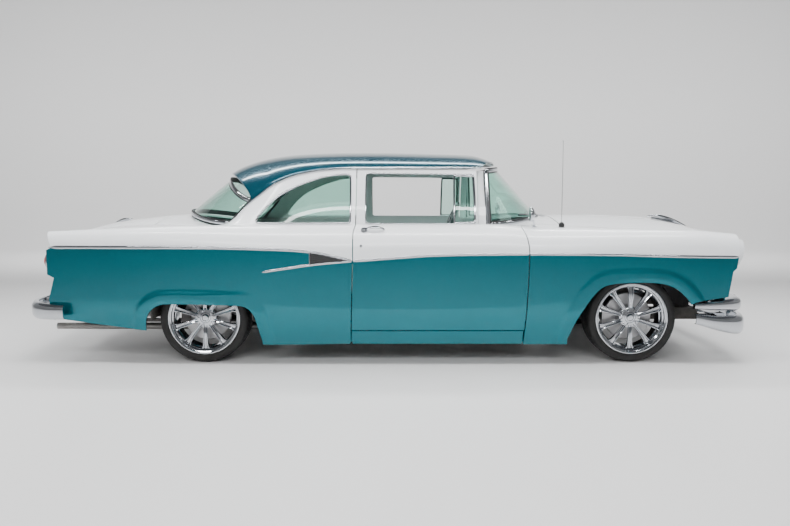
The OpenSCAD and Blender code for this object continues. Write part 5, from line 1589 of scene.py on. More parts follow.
@dataclass
class Brightwork:
    """Mouldings, handles, mirrors, bumpers, pods, grille, lamps and the antenna."""

    body: BodyShape
    finishes: Finishes

    def on_side(
        self, line: Curve, x0: float, x1: float, width: float, height: float, taper: tuple = (0.0, 0.0)
    ) -> Shape:
        """Moulding along a side-view curve, narrowed over the given lengths at its two ends."""
        x = np.linspace(x0, x1, max(8, int((x1 - x0) / 16)))
        path, out = self.body.side_path(x, line(x))
        path[:, 1] -= np.maximum(0, path[:, 1] + height + 0.3 - HALF_WIDTH)
        size = np.ones(len(x))
        if taper[0]:
            size *= 0.15 + 0.85 * blend_in(x0, x0 + taper[0], x)
        if taper[1]:
            size *= 0.15 + 0.85 * (1 - blend_in(x1 - taper[1], x1, x))
        return sweep(path, out, half_round(width, height), size)

    def side_mouldings(self) -> None:
        """The long side moulding in its three lengths, the dart below it and its ribbed infill."""
        body, f = self.body, self.finishes
        dart = Curve([(-886, 630), (-700, 659), (-520, 685), (-387, 699), (-236, 712)])
        for side in Side:
            w = side.word
            piece(f"moulding_rear_{w}", [
                self.on_side(body.strip, -2290, -241, 24, 9, (60, 0)).on(side),
                self.on_side(dart, -886, -241, 20, 9, (90, 0)).on(side),
            ], f.chrome)
            piece(f"moulding_door_{w}", self.on_side(body.strip, -227, 935, 21, 9, (0, 0)).on(side), f.chrome,
                  f"door_{w}")
            piece(f"moulding_front_{w}", self.on_side(body.strip, 951, 2372, 21, 9, (0, 24)).on(side),
                f.chrome)
            x = np.linspace(-519, -243, 60)[:, None]
            s = np.linspace(0, 1, 40)[None, :]
            low, high = dart(x), body.strip(x)
            z = low + (high - low) * s
            rib = 1.6 * np.abs(np.sin(np.pi * (z - low) / 13.0))
            xx = x + 0 * s
            p = np.stack([xx, body.side_y(xx, z) + 1.2 + rib, z], -1)
            piece(f"dart_infill_{w}", between(p, p - [0, 6, 0]).on(side), f.black)
            end_z = np.linspace(float(dart(-519)) - 2, float(body.strip(-519)) + 2, 12)
            path, out = body.side_path(np.full(12, -519.0), end_z)
            path[:, 1] -= np.maximum(0, path[:, 1] + 8.3 - HALF_WIDTH)
            piece(f"dart_end_bar_{w}", sweep(path, out, half_round(10, 8)).on(side), f.chrome)

    def door_handles(self) -> None:
        """Pull handles with their round push buttons, and the locks under them."""
        body, f = self.body, self.finishes
        for side in Side:
            x = np.linspace(-150, -22, 30)
            z = np.full(30, 914.0)
            path, out = body.side_path(x, z)
            lift = 6 + 22 * np.sin(np.pi * np.linspace(0, 1, 30)) ** 0.6
            path = path + out * lift[:, None]
            grip = sweep(path, out, rounded(20, 9, 3), 0.75 + 0.35 * np.sin(np.pi * np.linspace(0, 1, 30)))
            seat, _ = body.side_path(np.array([-158.0]), np.array([912.0]))
            lock, _ = body.side_path(np.array([-176.0]), np.array([813.0]))
            button = [(0, 22), (8, 23), (10, 20), (11, 12), (17, 12), (21, 8), (23, -3), (0, -3)]
            small = [(0, 5), (6, 5), (9, 2), (10, -3), (0, -3)]
            shapes = [
                grip.on(side),
                lathe(button, seat[0] * [1, side.value, 1], "y", 40, side.value),
                lathe(small, lock[0] * [1, side.value, 1], "y", 28, side.value),
            ]
            piece(f"door_handle_{side.word}", shapes, f.chrome, f"door_{side.word}")

    def mirrors(self) -> None:
        """Round door mirrors: stem, head with a rolled rim, and the glass."""
        f = self.finishes
        for side in Side:
            foot = np.array([1000.0, 800.0, 938.0])
            head = np.array([972.0, 838.0, 1020.0])
            stem = through([foot, foot * 0.6 + head * 0.4 + [4, 6, 0], head + [10, 0, -30], head + [8,
                0, -4]], 20)
            back = [(0, 26), (20, 24), (38, 16), (49, 4), (52, -4), (51, -9), (46, -10), (44, -6), (0, -5)]
            glass = [(0, -6), (43, -7), (43, -9), (0, -9)]
            base = [(0, -8), (17, -8), (19, 0), (12, 7), (0, 9)]
            place = head * [1, side.value, 1]
            piece(f"door_mirror_{side.word}", [
                sweep(stem, (1, 0, 0), rounded(15, 11), np.linspace(1, 0.75, 20)).on(side),
                lathe(back, place, "x", 56),
                lathe(base, foot * [1, side.value, 1], "z", 32),
            ], f.chrome)
            piece(f"door_mirror_glass_{side.word}", lathe(glass, place, "x", 48), f.satin)

    def bar(self, path: Sequence, marks: Sequence, depth: float, count: int) -> Shape:
        """Bumper bar: a C section that follows the plan path, with [z, height, bulge] at each point.

        The section's face is bulge (1 - |k|^4) proud at the share k of its half height, its
        edges roll in, and its back lies depth behind.
        """
        p = np.asarray(path, float)
        m = np.asarray(marks, float)
        both = through(np.hstack([p, m]), count)
        plan, z, h, bulge = both[:, :2], both[:, 2], both[:, 3], both[:, 4]
        t = unit(np.gradient(plan, axis=0))
        n = np.stack([t[:, 1], -t[:, 0]], 1)
        k = np.sin(np.linspace(-math.pi / 2, math.pi / 2, 25))
        face = bulge[:, None] * (1 - np.abs(k) ** 4)[None]
        roll = -14 * np.clip((np.abs(k) - 0.93) / 0.07, 0, 1) ** 2
        front = np.stack([
            plan[:, :1] + n[:, :1] * (face + roll[None]),
            plan[:, 1:] + n[:, 1:] * (face + roll[None]),
            z[:, None] + k[None] * h[:, None] / 2,
        ], -1)
        back = front - np.concatenate([n, 0 * n[:, :1]], 1)[:, None] * depth
        back[..., 2] = z[:, None] + (front[..., 2] - z[:, None]) * 0.94
        return between(front, back)

    def bumpers(self) -> None:
        """Front and rear bumpers with their bolts and brackets."""
        f = self.finishes
        front = [
            (2495, 0), (2494, 200), (2491, 420), (2483, 600), (2461, 740), (2401, 852), (2311, 906),
            (2201, 932),
            (2073, 940),
        ]
        marks = [
            (262, 137, 22), (262, 137, 22), (262, 137, 22), (262, 137, 22), (263, 136, 24), (266, 134, 26),
            (276, 118, 24), (292, 92, 20), (318, 66, 14),
        ]
        rear = [
            (-2495, 0), (-2494, 200), (-2491, 420), (-2485, 600), (-2459, 740), (-2391, 860), (-2301, 916),
            (-2176, 938),
        ]
        rear_marks = [
            (366, 112, 22), (366, 112, 22), (366, 112, 22), (366, 112, 22), (366, 114, 24), (366, 116, 26),
            (365, 110, 24), (364, 100, 18),
        ]
        bolt = [(0, 9), (6, 8.5), (11, 5), (13, 0), (13, -4), (0, -4)]
        for name, half, mark, sign, arm in (
            ("front_bumper", front, marks, 1, [(2301, 380, 250), (2490, 440, 276)]),
            ("rear_bumper", rear, rear_marks, -1, [(-2490, 440, 350), (-2266, 500, 382)]),
        ):
            left = [(x, -y) for x, y in half[:0:-1]] + half
            levels = mark[:0:-1] + mark
            if sign < 0:
                left, levels = left[::-1], levels[::-1]
            shapes = [self.bar(left, levels, 8, 220)]
            for y in (-640, -300, 300, 640):
                x = float(np.interp(abs(y), [h[1] for h in half], [h[0] for h in half]))
                shapes.append(lathe(bolt, (x + sign * 11.5, y, mark[0][0] + 4), "x", 28, sign))
            for side in Side:
                ends = np.array(arm) * [1, side.value, 1]
                shapes.append(box_shape(ends.min(0), ends.max(0)))
            piece(name + "_bar", shapes, f.chrome, stands_for=[name])

    def pods(self) -> None:
        """Pods above the front bumper that hold the parking lamps."""
        f = self.finishes
        path = [(2371, 424), (2417, 494), (2443, 584), (2441, 684), (2411, 774), (2331, 844), (2211,
            890), (2075, 912)]
        marks = [
            (404, 60, 22), (402, 84, 30), (399, 98, 34), (398, 100, 34), (398, 98, 34), (399, 88, 28),
            (400, 64, 18), (400, 34, 8),
        ]
        pod = self.bar(path, marks, 30, 90)
        neck = box_shape((2289, 544, 380), (2425, 584, 418))
        arm = box_shape((2289, 544, 380), (2303, 584, 471))
        lens = [(0, 15), (16, 13), (30, 7), (35, 0), (35, -4), (0, -4)]
        ring = [(35, 8), (40, 9), (44, 4), (44, -4), (35, -4)]
        for side in Side:
            place = (2468, side.value * 620, 398)
            piece(f"parking_pod_{side.word}", [pod.on(side), neck.on(side), arm.on(side), lathe(ring,
                place, "x", 48)],
                  f.chrome, stands_for=["parking_lights"] if side is Side.LEFT else ())
            piece(f"parking_lens_{side.word}", lathe(lens, place, "x", 48), f.amber)

    def grille(self) -> None:
        """Grille: bowed horizontal bars on uprights, with a black sheet behind them as painted shade in the
        mouth.
        """
        f = self.finishes
        y = np.linspace(-604, 604, 60)
        bars = []
        for z in (486, 522, 558, 594):
            x = 2303 + 10 * (1 - (y / 604) ** 2)
            bars.append(sweep(np.stack([x, y, z + 0 * y], 1), (1, 0, 0), rounded(13, 16, 3)))
        for y0 in np.linspace(-560, 560, 15):
            bars.append(box_shape((2291, y0 - 3, 474), (2299, y0 + 3, 612)))
        middle = lathe([(0, 26), (22, 22), (38, 10), (44, 0), (44, -8), (0, -8)], (2316, 0, 540), "x", 56)
        piece("grille_bars", [*bars, middle], f.chrome, stands_for=["grille"])
        s = np.linspace(-1, 1, 50)
        top = np.stack([2342 + 14 * (1 - s**2), 604 * s, 612 - 6 * s**2], 1)
        piece("grille_upper_bar", sweep(top, (1, 0, 0), rounded(26, 20, 3)), f.chrome)
        t = np.linspace(0, 1, 16)[None] + np.zeros((40, 1))
        across = np.linspace(-603, 603, 40)[:, None] + np.zeros((1, 16))
        pan = np.stack([2268 + 18 * np.sin(np.pi * t), across, 470 - 130 * t], -1)
        piece("gravel_pan", between(pan, pan - [6, 0, 0]), f.teal)
        # black sheet across the mouth behind the bars: painted shade standing in for the shadowed space
        # behind the grille
        piece("grille_backing", box_shape((2272, -600, 470), (2277, 600, 608)), f.black)

    def headlights(self) -> None:
        """Headlights under a painted brow: bezel, reflector, bulb shield and a ribbed lens."""
        f = self.finishes
        n = 96
        a = (np.arange(n) * 2 * math.pi / n)[:, None]
        prof = through([
            (100, -66), (102, -20), (101, 40), (98, 74), (94, 82), (87, 82), (82, 72), (80, 40), (80, -66),
        ], 34)
        slant = 14 * np.sin(a)
        along = prof[None, :, 1] + slant * blend_in(-40, 80, prof[None, :, 1])
        r = prof[None, :, 0] + 0 * a
        lens_r = np.linspace(1, 0.0, 22)[None, :]
        for side in Side:
            cy = side.value * LAMP_Y
            p = np.stack([2330 + along, cy + r * np.cos(a), LAMP_Z + r * np.sin(a)], -1)
            ring = Shape(p.reshape(-1, 3), [grid_faces(n, prof.shape[0], True, True)]).outward()
            piece(f"headlight_brow_{side.word}", ring, f.white,
                  stands_for=["headlights"] if side is Side.LEFT else ())
            trim = [(80, 8), (86, 12), (90, 8), (90, -2), (80, -4)]
            bezel = lathe(trim, (2378, cy, LAMP_Z), "x", 80)
            bowl = lathe([(79, 6), (70, -20), (45, -44), (0, -56), (0, -60), (48, -48), (74, -22), (82, 6)],
                         (2372, cy, LAMP_Z), "x", 72)
            cap = lathe([(0, 4), (12, 2), (15, -8), (14, -40), (0, -40)], (2364, cy, LAMP_Z), "x", 40)
            piece(f"headlight_bezel_{side.word}", [bezel, bowl, cap], f.chrome)
            flute = 1.2 * np.abs(np.sin(9 * math.pi * lens_r * np.cos(a)))
            dome = 16 * (1 - lens_r**2)
            face = np.stack([
                2379 + dome + flute * (lens_r > 0.05), cy + 80 * lens_r * np.cos(a),
                LAMP_Z + 80 * lens_r * np.sin(a),
            ], -1)
            lens = disc_shell(face, 4)
            piece(f"headlight_lens_{side.word}", lens, f.clear)

    def taillights(self) -> None:
        """Round taillights: pale ring, red lens with stepped rings, and a bright middle."""
        f = self.finishes
        for side in Side:
            place = (-2283, side.value * 780, 698)
            ring = through([
                (64, 40), (69, 46), (76, 42), (80, 30), (80, 0), (78, -40), (66, -40), (64, 0),
            ], 40, closed=True)
            lens = [(0, 77), (16, 76), (18, 73), (34, 70), (36, 67), (50, 60), (52, 56), (61, 46), (64,
                30), (0, 30)]
            stem = [(0, 30), (62, 30), (66, -40), (0, -40)]
            piece(f"taillight_ring_{side.word}", [
                lathe(ring, place, "x", 88, -1), lathe(stem, place, "x", 64, -1),
            ], f.chrome, stands_for=["taillights"] if side is Side.LEFT else ())
            piece(f"taillight_lens_{side.word}", lathe(lens, place, "x", 88, -1), f.red)

    def antenna(self) -> None:
        """Mast antenna on its black ball base."""
        f = self.finishes
        z = np.linspace(950, 1519, 24)
        mast = sweep(
            np.stack([0 * z + 1194, 0 * z - 774, z], 1), (1, 0, 0), circle(2.3, 10), np.linspace(1, 0.6, 24)
        )
        tip = lathe([(0, 6), (3.6, 3), (3.6, -3), (0, -6)], (1194, -774, 1514), "z", 16)
        piece("antenna_mast", [mast, tip], f.satin, stands_for=["antenna"])
        ball = [(0, 34), (10, 32), (17, 24), (20, 14), (18, 4), (21, 0), (22, -4), (0, -4)]
        piece("antenna_base", lathe(ball, (1194, -774, 931), "z", 40), f.black)


def disc_shell(face: np.ndarray, thick: float) -> Shape:
    """Closed round pane from rings of points whose last ring is a single spot."""
    n, m = face.shape[:2]
    back = face - [thick, 0, 0]
    points = np.vstack([face.reshape(-1, 3), back.reshape(-1, 3)])
    wall = grid_faces(n, m, True)
    i = np.arange(n)
    j = (i + 1) % n
    rim = np.stack([i * m, i * m + n * m, j * m + n * m, j * m], 1)
    return Shape(points, [wall, wall[:, ::-1] + n * m, rim]).outward()


@dataclass
class Wheel:
    """One wheel: dished rim with twin-ribbed spokes, and its low tyre."""

    finishes: Finishes
    name: str
    x: float
    y: float
    side: Side
    spokes: int = 10
    rim: float = 247.0
    half: float = 108.5
    radius: float = 306.0
    height: float = 306.0

    def place(self) -> tuple[float, float, float]:
        """Middle of the wheel."""
        return (self.x, self.side.value * self.y, self.height)

    def build(self) -> None:
        """Makes the rim, the hub, the spokes and the tyre."""
        h, f, s = self.half, self.finishes, self.side.value
        lip = [
            (247, h - 5), (246.5, h - 1.5), (244, h), (239, h), (236, h - 3), (235.5, h - 9), (229, h - 12),
            (227, h - 17), (226.5, h - 28), (218, h - 34), (216, h - 42), (215, h - 62), (207, h - 70),
            (206, -h + 66), (224, -h + 40), (228, -h + 14), (234, -h + 1), (244, -h), (247, -h + 5),
            (237, -h + 14),
            (235, -h + 40), (217, -h + 66), (217, h - 66), (234, h - 40), (237, h - 14),
        ]
        face = h - 38
        rim = lathe(lip, self.place(), "y", 144, s)
        hub = lathe([
            (0, face + 10), (17, face + 9), (23, face + 4), (25, face - 3), (34, face - 5), (38, face - 1),
            (62, face - 4), (72, face - 10), (76, face - 20), (74, face - 36), (40, face - 44), (62, -40),
            (60, -60), (0, -60),
        ], self.place(), "y", 80, s)
        bolts = []
        for k in range(5):
            a = 2 * math.pi * (k + 0.5) / 5
            spot = np.array([self.x + 50 * math.cos(a), s * self.y, self.height + 50 * math.sin(a)])
            bolts.append(lathe([(0, face + 6), (6, face + 5), (8, face + 1), (8, face - 12), (0,
                face - 12)], spot,
                               "y", 6, s))
        piece(f"{self.name}_rim", [rim, hub, *bolts, *self.spoke_shapes(face)], f.chrome, self.name,
              stands_for=[self.name], sharp=32)
        disc = lathe([
            (70, -22), (76, -26), (84, -22), (160, -22), (164, -18), (164, -2), (160, 2), (84, 2), (78,
                8), (62, 8),
            (62, -22),
        ], self.place(), "y", 96, s)
        piece(f"{self.name}_brake_disc", disc, f.steel, self.name)
        self.tyre()

    def spoke_shapes(self, face: float) -> list[Shape]:
        """Spokes: a section of two ridges with a groove between, swept from hub to rim.

        The ridges spread and grow towards the rim, and the whole spoke bows out by 6 halfway.
        """
        section = np.array([
            (-1.0, -1.0), (-1.0, 0.35), (-0.86, 0.9), (-0.7, 1.0), (-0.55, 0.85), (-0.36, 0.1), (0,
                -0.1), (0.36, 0.1),
            (0.55, 0.85), (0.7, 1.0), (0.86, 0.9), (1.0, 0.35), (1.0, -1.0),
        ])
        t = np.linspace(0, 1, 18)
        radius = 58 + (214 - 58) * t
        out = face - 8 + 6 * np.sin(np.pi * t) + 4 * t
        width = 13 + 9 * t**1.5 + 8 * blend_in(0.86, 1, t)
        size = np.stack([width, np.full(18, 10.0)], 1)
        shapes = []
        for k in range(self.spokes):
            a = 2 * math.pi * k / self.spokes + math.pi / 2
            path = np.stack([
                self.x + radius * math.cos(a), self.side.value * (self.y + out),
                self.height + radius * math.sin(a),
            ], 1)
            shapes.append(sweep(path, (0, self.side.value, 0), section, size))
        return shapes

    def tyre(self) -> None:
        """Tyre: a turned section whose tread is cut by four rings and by slanted sipes.

        A point on the tread drops by 6 in a ring's width, and near the shoulder by 5 where
        the angle's share of one of 66 blocks is under 0.17.
        """
        r = self.radius
        half = through([
            (r, 0), (r - 0.3, 30), (r - 1, 70), (r - 3, 88), (r - 9, 100), (r - 18, 107.5), (r - 30, 111.5),
            (r - 40, 112.3), (r - 50, 110.5), (253, 108.5), (247.6, 105.5), (241, 100),
        ], 46)
        back = through([(241, 100), (238, 90), (237, 70), (246, 52), (250, 0)], 14)[1:]
        prof = np.vstack([half, back, back[-2::-1] * [1, -1], half[::-1][:-1] * [1, -1]])
        n = 264
        a = (np.arange(n) * 2 * math.pi / n)[:, None]
        rr, d = prof[None, :, 0] + 0 * a, prof[None, :, 1] + 0 * a
        tread = rr > r - 12
        ring = (np.minimum(np.abs(np.abs(d) - 22), np.abs(np.abs(d) - 60)) < 4.5) & tread
        share = (a * 66 / (2 * math.pi) + d / 60) % 1
        sipe = tread & (share < 0.17) & (np.abs(d) > 30)
        rr = rr - 6.0 * ring - 5.0 * (sipe & ~ring)
        line = 0.8 * ((np.abs(rr - 283) < 1.2) | (np.abs(rr - 262) < 1.2)) * (np.abs(d) > 100)
        d = d + line * np.sign(d) * 0.9
        d = np.clip(d, -112.5, 112.5)
        p = np.stack([self.x + rr * np.cos(a), self.side.value * self.y + d,
            self.height + rr * np.sin(a)], -1)
        shape = Shape(p.reshape(-1, 3), [grid_faces(n, len(prof), True, True)]).outward()
        node = self.name.replace("wheel", "tyre")
        piece(f"{node}_casing", shape, self.finishes.rubber, self.name, stands_for=[node], sharp=50)


@dataclass
class Cabin:
    """Dashboard, steering column and wheel, and seats."""

    finishes: Finishes
    hub: tuple = (520.0, 370.0, 894.0)
    axis: tuple = (0.9135, 0.0, -0.4067)

    def dashboard(self) -> None:
        """Padded, bowed dashboard with an instrument hood, dials, radio face and a glove box button."""
        f = self.finishes
        section = through([
            (1038, 884), (960, 890), (868, 884), (828, 866), (812, 838), (820, 804), (842, 770), (850, 730),
            (862, 690), (884, 668), (1038, 668),
        ], 46)
        y = np.linspace(-728, 728, 90)
        bow = 22 * (1 - (y / 728) ** 2)
        front = 1 - blend_in(870, 1000, section[:, 0])
        x = section[None, :, 0] + bow[:, None] * front[None]
        z = section[None, :, 1] + 0 * y[:, None]
        outer = np.stack([x, y[:, None] + 0 * x, z], -1)
        inner = np.stack([
            np.clip(x + 14, None, 1030), y[:, None] * 0.99 + 0 * x, 778 + (z - 778) * 0.86,
        ], -1)
        piece("dashboard_shell", between(outer, inner), f.dash, stands_for=["dashboard"])
        pad = np.stack([812 + bow, y * 0.985, 0 * y + 850], 1)
        piece("dashboard_pad", sweep(pad, (0, 0, 1), rounded(26, 34, 3)), f.trim)
        dials, faces = [], []
        for dy, dz, r in ((370, 800, 58), (262, 806, 32), (478, 806, 32)):
            spot = (826, dy, dz)
            dials.append(lathe([(r, 10), (r + 8, 14), (r + 12, 8), (r + 10, -10), (r, -10)], spot, "x",
                60, -1))
            faces.append(lathe([(0, 4), (r, 4), (r, -8), (0, -8)], spot, "x", 48, -1))
            needle = box_shape((820, dy - 1.5, dz), (822, dy + 1.5, dz + r * 0.8))
            dials.append(needle)
        for k in range(5):
            dials.append(lathe([(0, 20), (8, 18), (10, 10), (7, 4), (7, -14), (0, -14)], (822,
                -60 + 30 * k, 744),
                               "x", 24, -1))
        for k in range(6):
            dials.append(box_shape((812, -130, 782 + 9 * k), (824, 130, 786 + 9 * k)))
        strip = np.stack([822 + bow, y * 0.97, 0 * y + 722], 1)
        dials.append(sweep(strip, (0, 0, 1), rounded(8, 14, 3)))
        dials.append(lathe([(0, 24), (16, 22), (18, 8), (18, -10), (0, -10)], (828, -430, 770), "x", 32, -1))
        piece("dashboard_brightwork", dials, f.chrome)
        piece("dashboard_dials", faces, f.ivory)

    def steering(self) -> None:
        """Steering wheel with a dished hub, three flat spokes and a horn ring, and its column."""
        f = self.finishes
        axis, hub = np.array(self.axis), np.array(self.hub)
        across = np.array([0.0, 1.0, 0.0])
        up = np.cross(axis, across)
        a = np.linspace(0, 2 * math.pi, 97)[:-1][:, None]

        def ring(radius: float, lift: float) -> np.ndarray:
            """Circle round the hub's axis, set the given distance towards the driver."""
            return hub - axis * lift + radius * (np.cos(a) * across + np.sin(a) * up)

        grip = np.ones(96) + 0.06 * np.cos(np.arange(96) * 2 * math.pi / 4)
        rim = sweep(ring(186, 18), axis, circle(12.5, 16), grip, closed=True)
        horn = sweep(ring(112, 26), axis, circle(4, 10), closed=True)
        spokes, bright = [], []
        for angle in (0.12, math.pi - 0.12, -math.pi / 2):
            way = np.cos(angle) * across + np.sin(angle) * up
            t = np.linspace(0, 1, 16)[:, None]
            path = hub - axis * (2 + 14 * t) + way * (26 + 156 * t)
            spokes.append(sweep(path, axis, rounded(34, 9), 1.1 - 0.35 * np.sin(np.pi * t[:, 0])))
        for angle in (0.5, math.pi - 0.5):
            way = np.cos(angle) * across + np.sin(angle) * up
            t = np.linspace(0, 1, 10)[:, None]
            bright.append(sweep(hub - axis * (24 + 2 * t) + way * (20 + 92 * t), axis, rounded(9, 4)))
        cap = self.turned([(0, 40), (20, 38), (32, 31), (36, 20), (34, -6), (30, -24), (0, -24)])
        piece("steering_wheel_rim", [rim, *spokes, cap], f.plastic, "steering_wheel",
              stands_for=["steering_wheel"])
        centre = self.turned([(0, 46), (12, 45), (17, 41), (18, 36), (0, 36)])
        piece("horn_ring", [horn, *bright, centre], f.chrome, "steering_wheel")
        t = np.linspace(0, 1, 12)[:, None]
        tube = sweep(hub + axis * (62 + (470 - 62) * t), (0, 1, 0), circle(26, 28))
        collar = sweep(hub + axis * (64 + 44 * t), (0, 1, 0), circle(34, 32), np.linspace(1.0, 0.9, 12))
        piece("steering_column", [tube, collar], f.plastic)
        lever = through([hub + axis * 80, hub + axis * 74 + [0, 70, 10], hub + axis * 60 + [0, 150, 24]], 20)
        knob = lathe([(0, 12), (9, 8), (12, 0), (9, -8), (0, -12)], hub + axis * 60 + [0, 152, 24], "y", 24)
        piece("turn_signal_lever", [sweep(lever, (0, 0, 1), circle(4, 10)), knob], f.chrome)

    def turned(self, profile: Sequence) -> Shape:
        """Shape turned round the steering axis from [radius, height towards the driver] points."""
        prof = np.asarray(profile, float)
        n = 56
        a = (np.arange(n) * 2 * math.pi / n)[:, None, None]
        axis, across = np.array(self.axis), np.array([0.0, 1.0, 0.0])
        up = np.cross(axis, across)
        inner = prof[prof[:, 0] > 0]
        ring = (
            np.array(self.hub) - axis * inner[None, :, 1:]
            + inner[None, :, :1] * (np.cos(a) * across + np.sin(a) * up)
        )
        poles = np.array(self.hub) - axis * prof[[0, -1], 1][:, None]
        m = ring.shape[1]
        i = np.arange(n)
        j = (i + 1) % n
        first = np.stack([np.full(n, n * m), i * m, j * m], 1)
        last = np.stack([np.full(n, n * m + 1), j * m + m - 1, i * m + m - 1], 1)
        return Shape(np.vstack([ring.reshape(-1, 3), poles]), [grid_faces(n, m, True), first, last]).outward()

    def cushion(
        self, name: str, outline: Sequence, half: float, pleats: int, finish: bpy.types.Material, crown: float
    ) -> bpy.types.Object:
        """Bench cushion: a rounded side outline carried across the car.

        The outline shrinks towards both ends by the share (1 - (1 - e^3)^(1/3)) of 42, where e
        is how far the last 60 of the width have run, so the ends round off. The face crowns by
        cos of the width's share, and each pleat dips it by the fourth power of a sine.
        """
        p = through(outline, 56, closed=True)
        middle = p.mean(0)
        v = np.linspace(-1, 1, 150)
        y = np.sign(v) * np.abs(v) ** 0.9 * half
        end = np.clip((np.abs(y) - (half - 60)) / 60, 0, 1)
        shrink = 42 * (1 - (1 - end**3) ** (1 / 3))
        reach = np.hypot(*(p - middle).T)
        scale = 1 - shrink[:, None] / np.maximum(reach, 60)[None]
        dip = 4.5 * np.abs(np.sin(np.pi * (y / half + 1) / 2 * pleats)) ** 0.35 - 4.5
        swell = crown * np.cos(np.pi * y / half / 2)[:, None] + dip[:, None] * (end < 0.3)[:, None]
        scale = scale + swell / np.maximum(reach, 60)[None]
        q = middle + (p - middle) * scale[..., None]
        grid = np.stack([q[..., 0], np.broadcast_to(y[:, None], q.shape[:2]), q[..., 1]], -1)
        n, m = grid.shape[:2]
        caps = [np.array([n * m] * m), np.array([n * m + 1] * m)]
        j = np.arange(m)
        k = (j + 1) % m
        first = np.stack([caps[0], j, k], 1)
        last = np.stack([caps[1], (n - 1) * m + k, (n - 1) * m + j], 1)
        poles = [[*middle[:1], -half, middle[1]], [*middle[:1], half, middle[1]]]
        shape = Shape(
            np.vstack([grid.reshape(-1, 3), poles]), [grid_faces(n, m, False, True), first, last]
        ).outward()
        obj = piece(name, shape, finish, sharp=80)
        self.stuff(obj)
        return obj

    def stuff(self, obj: bpy.types.Object) -> None:
        """Presses the cushion out with a short cloth run, so that it swells and creases."""
        before = np.empty(len(obj.data.vertices) * 3, np.float32)
        obj.data.vertices.foreach_get("co", before)
        cloth = obj.modifiers.new("stuffing", "CLOTH")
        cloth.settings.quality = 3
        cloth.settings.mass = 0.4
        cloth.settings.use_pressure = True
        cloth.settings.uniform_pressure_force = 2.5
        cloth.settings.tension_stiffness = 40
        cloth.settings.compression_stiffness = 40
        cloth.settings.bending_stiffness = 4
        cloth.settings.effector_weights.gravity = 0
        cloth.collision_settings.use_collision = False
        cloth.settings.shrink_min = -0.006
        scene = bpy.context.scene
        for step in range(1, 13):
            scene.frame_set(step)
        held = bpy.context.evaluated_depsgraph_get()
        after = np.empty_like(before)
        obj.evaluated_get(held).data.vertices.foreach_get("co", after)
        obj.modifiers.remove(cloth)
        scene.frame_set(1)
        move = (after - before).reshape(-1, 3)
        size = np.linalg.norm(move, axis=1, keepdims=True)
        cap = 0.012
        move *= np.minimum(1, cap / np.maximum(size, 1e-9))
        obj.data.vertices.foreach_set("co", (before.reshape(-1, 3) + move).ravel())
        obj.data.update()
        LOG.info("%s moved up to %.1f mm", obj.name, float(size.max()) * 1000)

    def seats(self) -> None:
        """Front and rear benches, with dark piping, frames and feet."""
        f = self.finishes
        rows = {
            "front_seat": (
                [(-30, 434), (200, 438), (440, 448), (466, 500), (436, 548), (250, 556), (60, 536),
                    (-16, 500)],
                [(-58, 452), (40, 452), (34, 600), (10, 730), (-62, 884), (-110, 898), (-146, 868),
                    (-146, 690),
                 (-100, 560)],
                670.0,
            ),
            "rear_seat": (
                [(-670, 418), (-400, 422), (-266, 434), (-236, 490), (-266, 528), (-460, 532), (-650, 512)],
                [(-772, 482), (-646, 482), (-664, 620), (-704, 752), (-772, 850), (-846, 852), (-862, 760),
                 (-820, 600)],
                596.0,
            ),
        }
        for name, (base, back, half) in rows.items():
            first = self.cushion(f"{name}_base", base, half, 14, f.vinyl, 5)
            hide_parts(name)
            self.cushion(f"{name}_back", back, half, 14, f.vinyl, 4)
            beads, ends = [], []
            for outline in (base, back):
                loop = through(outline, 90, closed=True)
                middle = loop.mean(0)
                for s in (-1, 1):
                    near = middle + (loop - middle) * 0.93
                    y = np.full(90, s * (half - 26))
                    beads.append(sweep(np.stack([near[:, 0], y, near[:, 1]], 1), (0, 1, 0), circle(4.5, 8),
                                       closed=True))
            piece(f"{name}_piping", beads, f.piping)
            low = min(p[1] for p in base)
            xs = [p[0] for p in base]
            for s in (-1, 1):
                for x0 in (min(xs) + 60, max(xs) - 100):
                    y0 = s * (half - 130)
                    ends.append(box_shape((x0, y0 - 18, low - 96), (x0 + 40, y0 + 18, low + 20)))
            ends.append(box_shape((min(xs) + 20, -half + 60, low - 8), (max(xs) - 30, half - 60, low + 24)))
            piece(f"{name}_frame", ends, f.black)


@dataclass
class FrameFinishes:
    """Materials for the CAD nodes that stay in sight."""

    finishes: Finishes

    def apply(self) -> None:
        """Puts a material on each slot of each node that stays."""
        f = self.finishes
        wanted = {
            "chassis_frame": f.under, "floor_pan": f.carpet, "inner_fenders": f.under, "wheelhouses": f.under,
            "knuckle_right": f.steel, "knuckle_left": f.steel, "front_suspension": f.iron,
            "rear_axle": f.iron,
            "engine": f.iron, "driveline": f.iron, "exhaust": f.pipe, "fuel_tank": f.pipe, "cowl": f.white,
        }
        nodes = frame["nodes"]
        for name, finish in wanted.items():
            mesh = nodes[name].data
            for k in range(max(1, len(mesh.materials))):
                if k < len(mesh.materials):
                    mesh.materials[k] = finish
                else:
                    mesh.materials.append(finish)


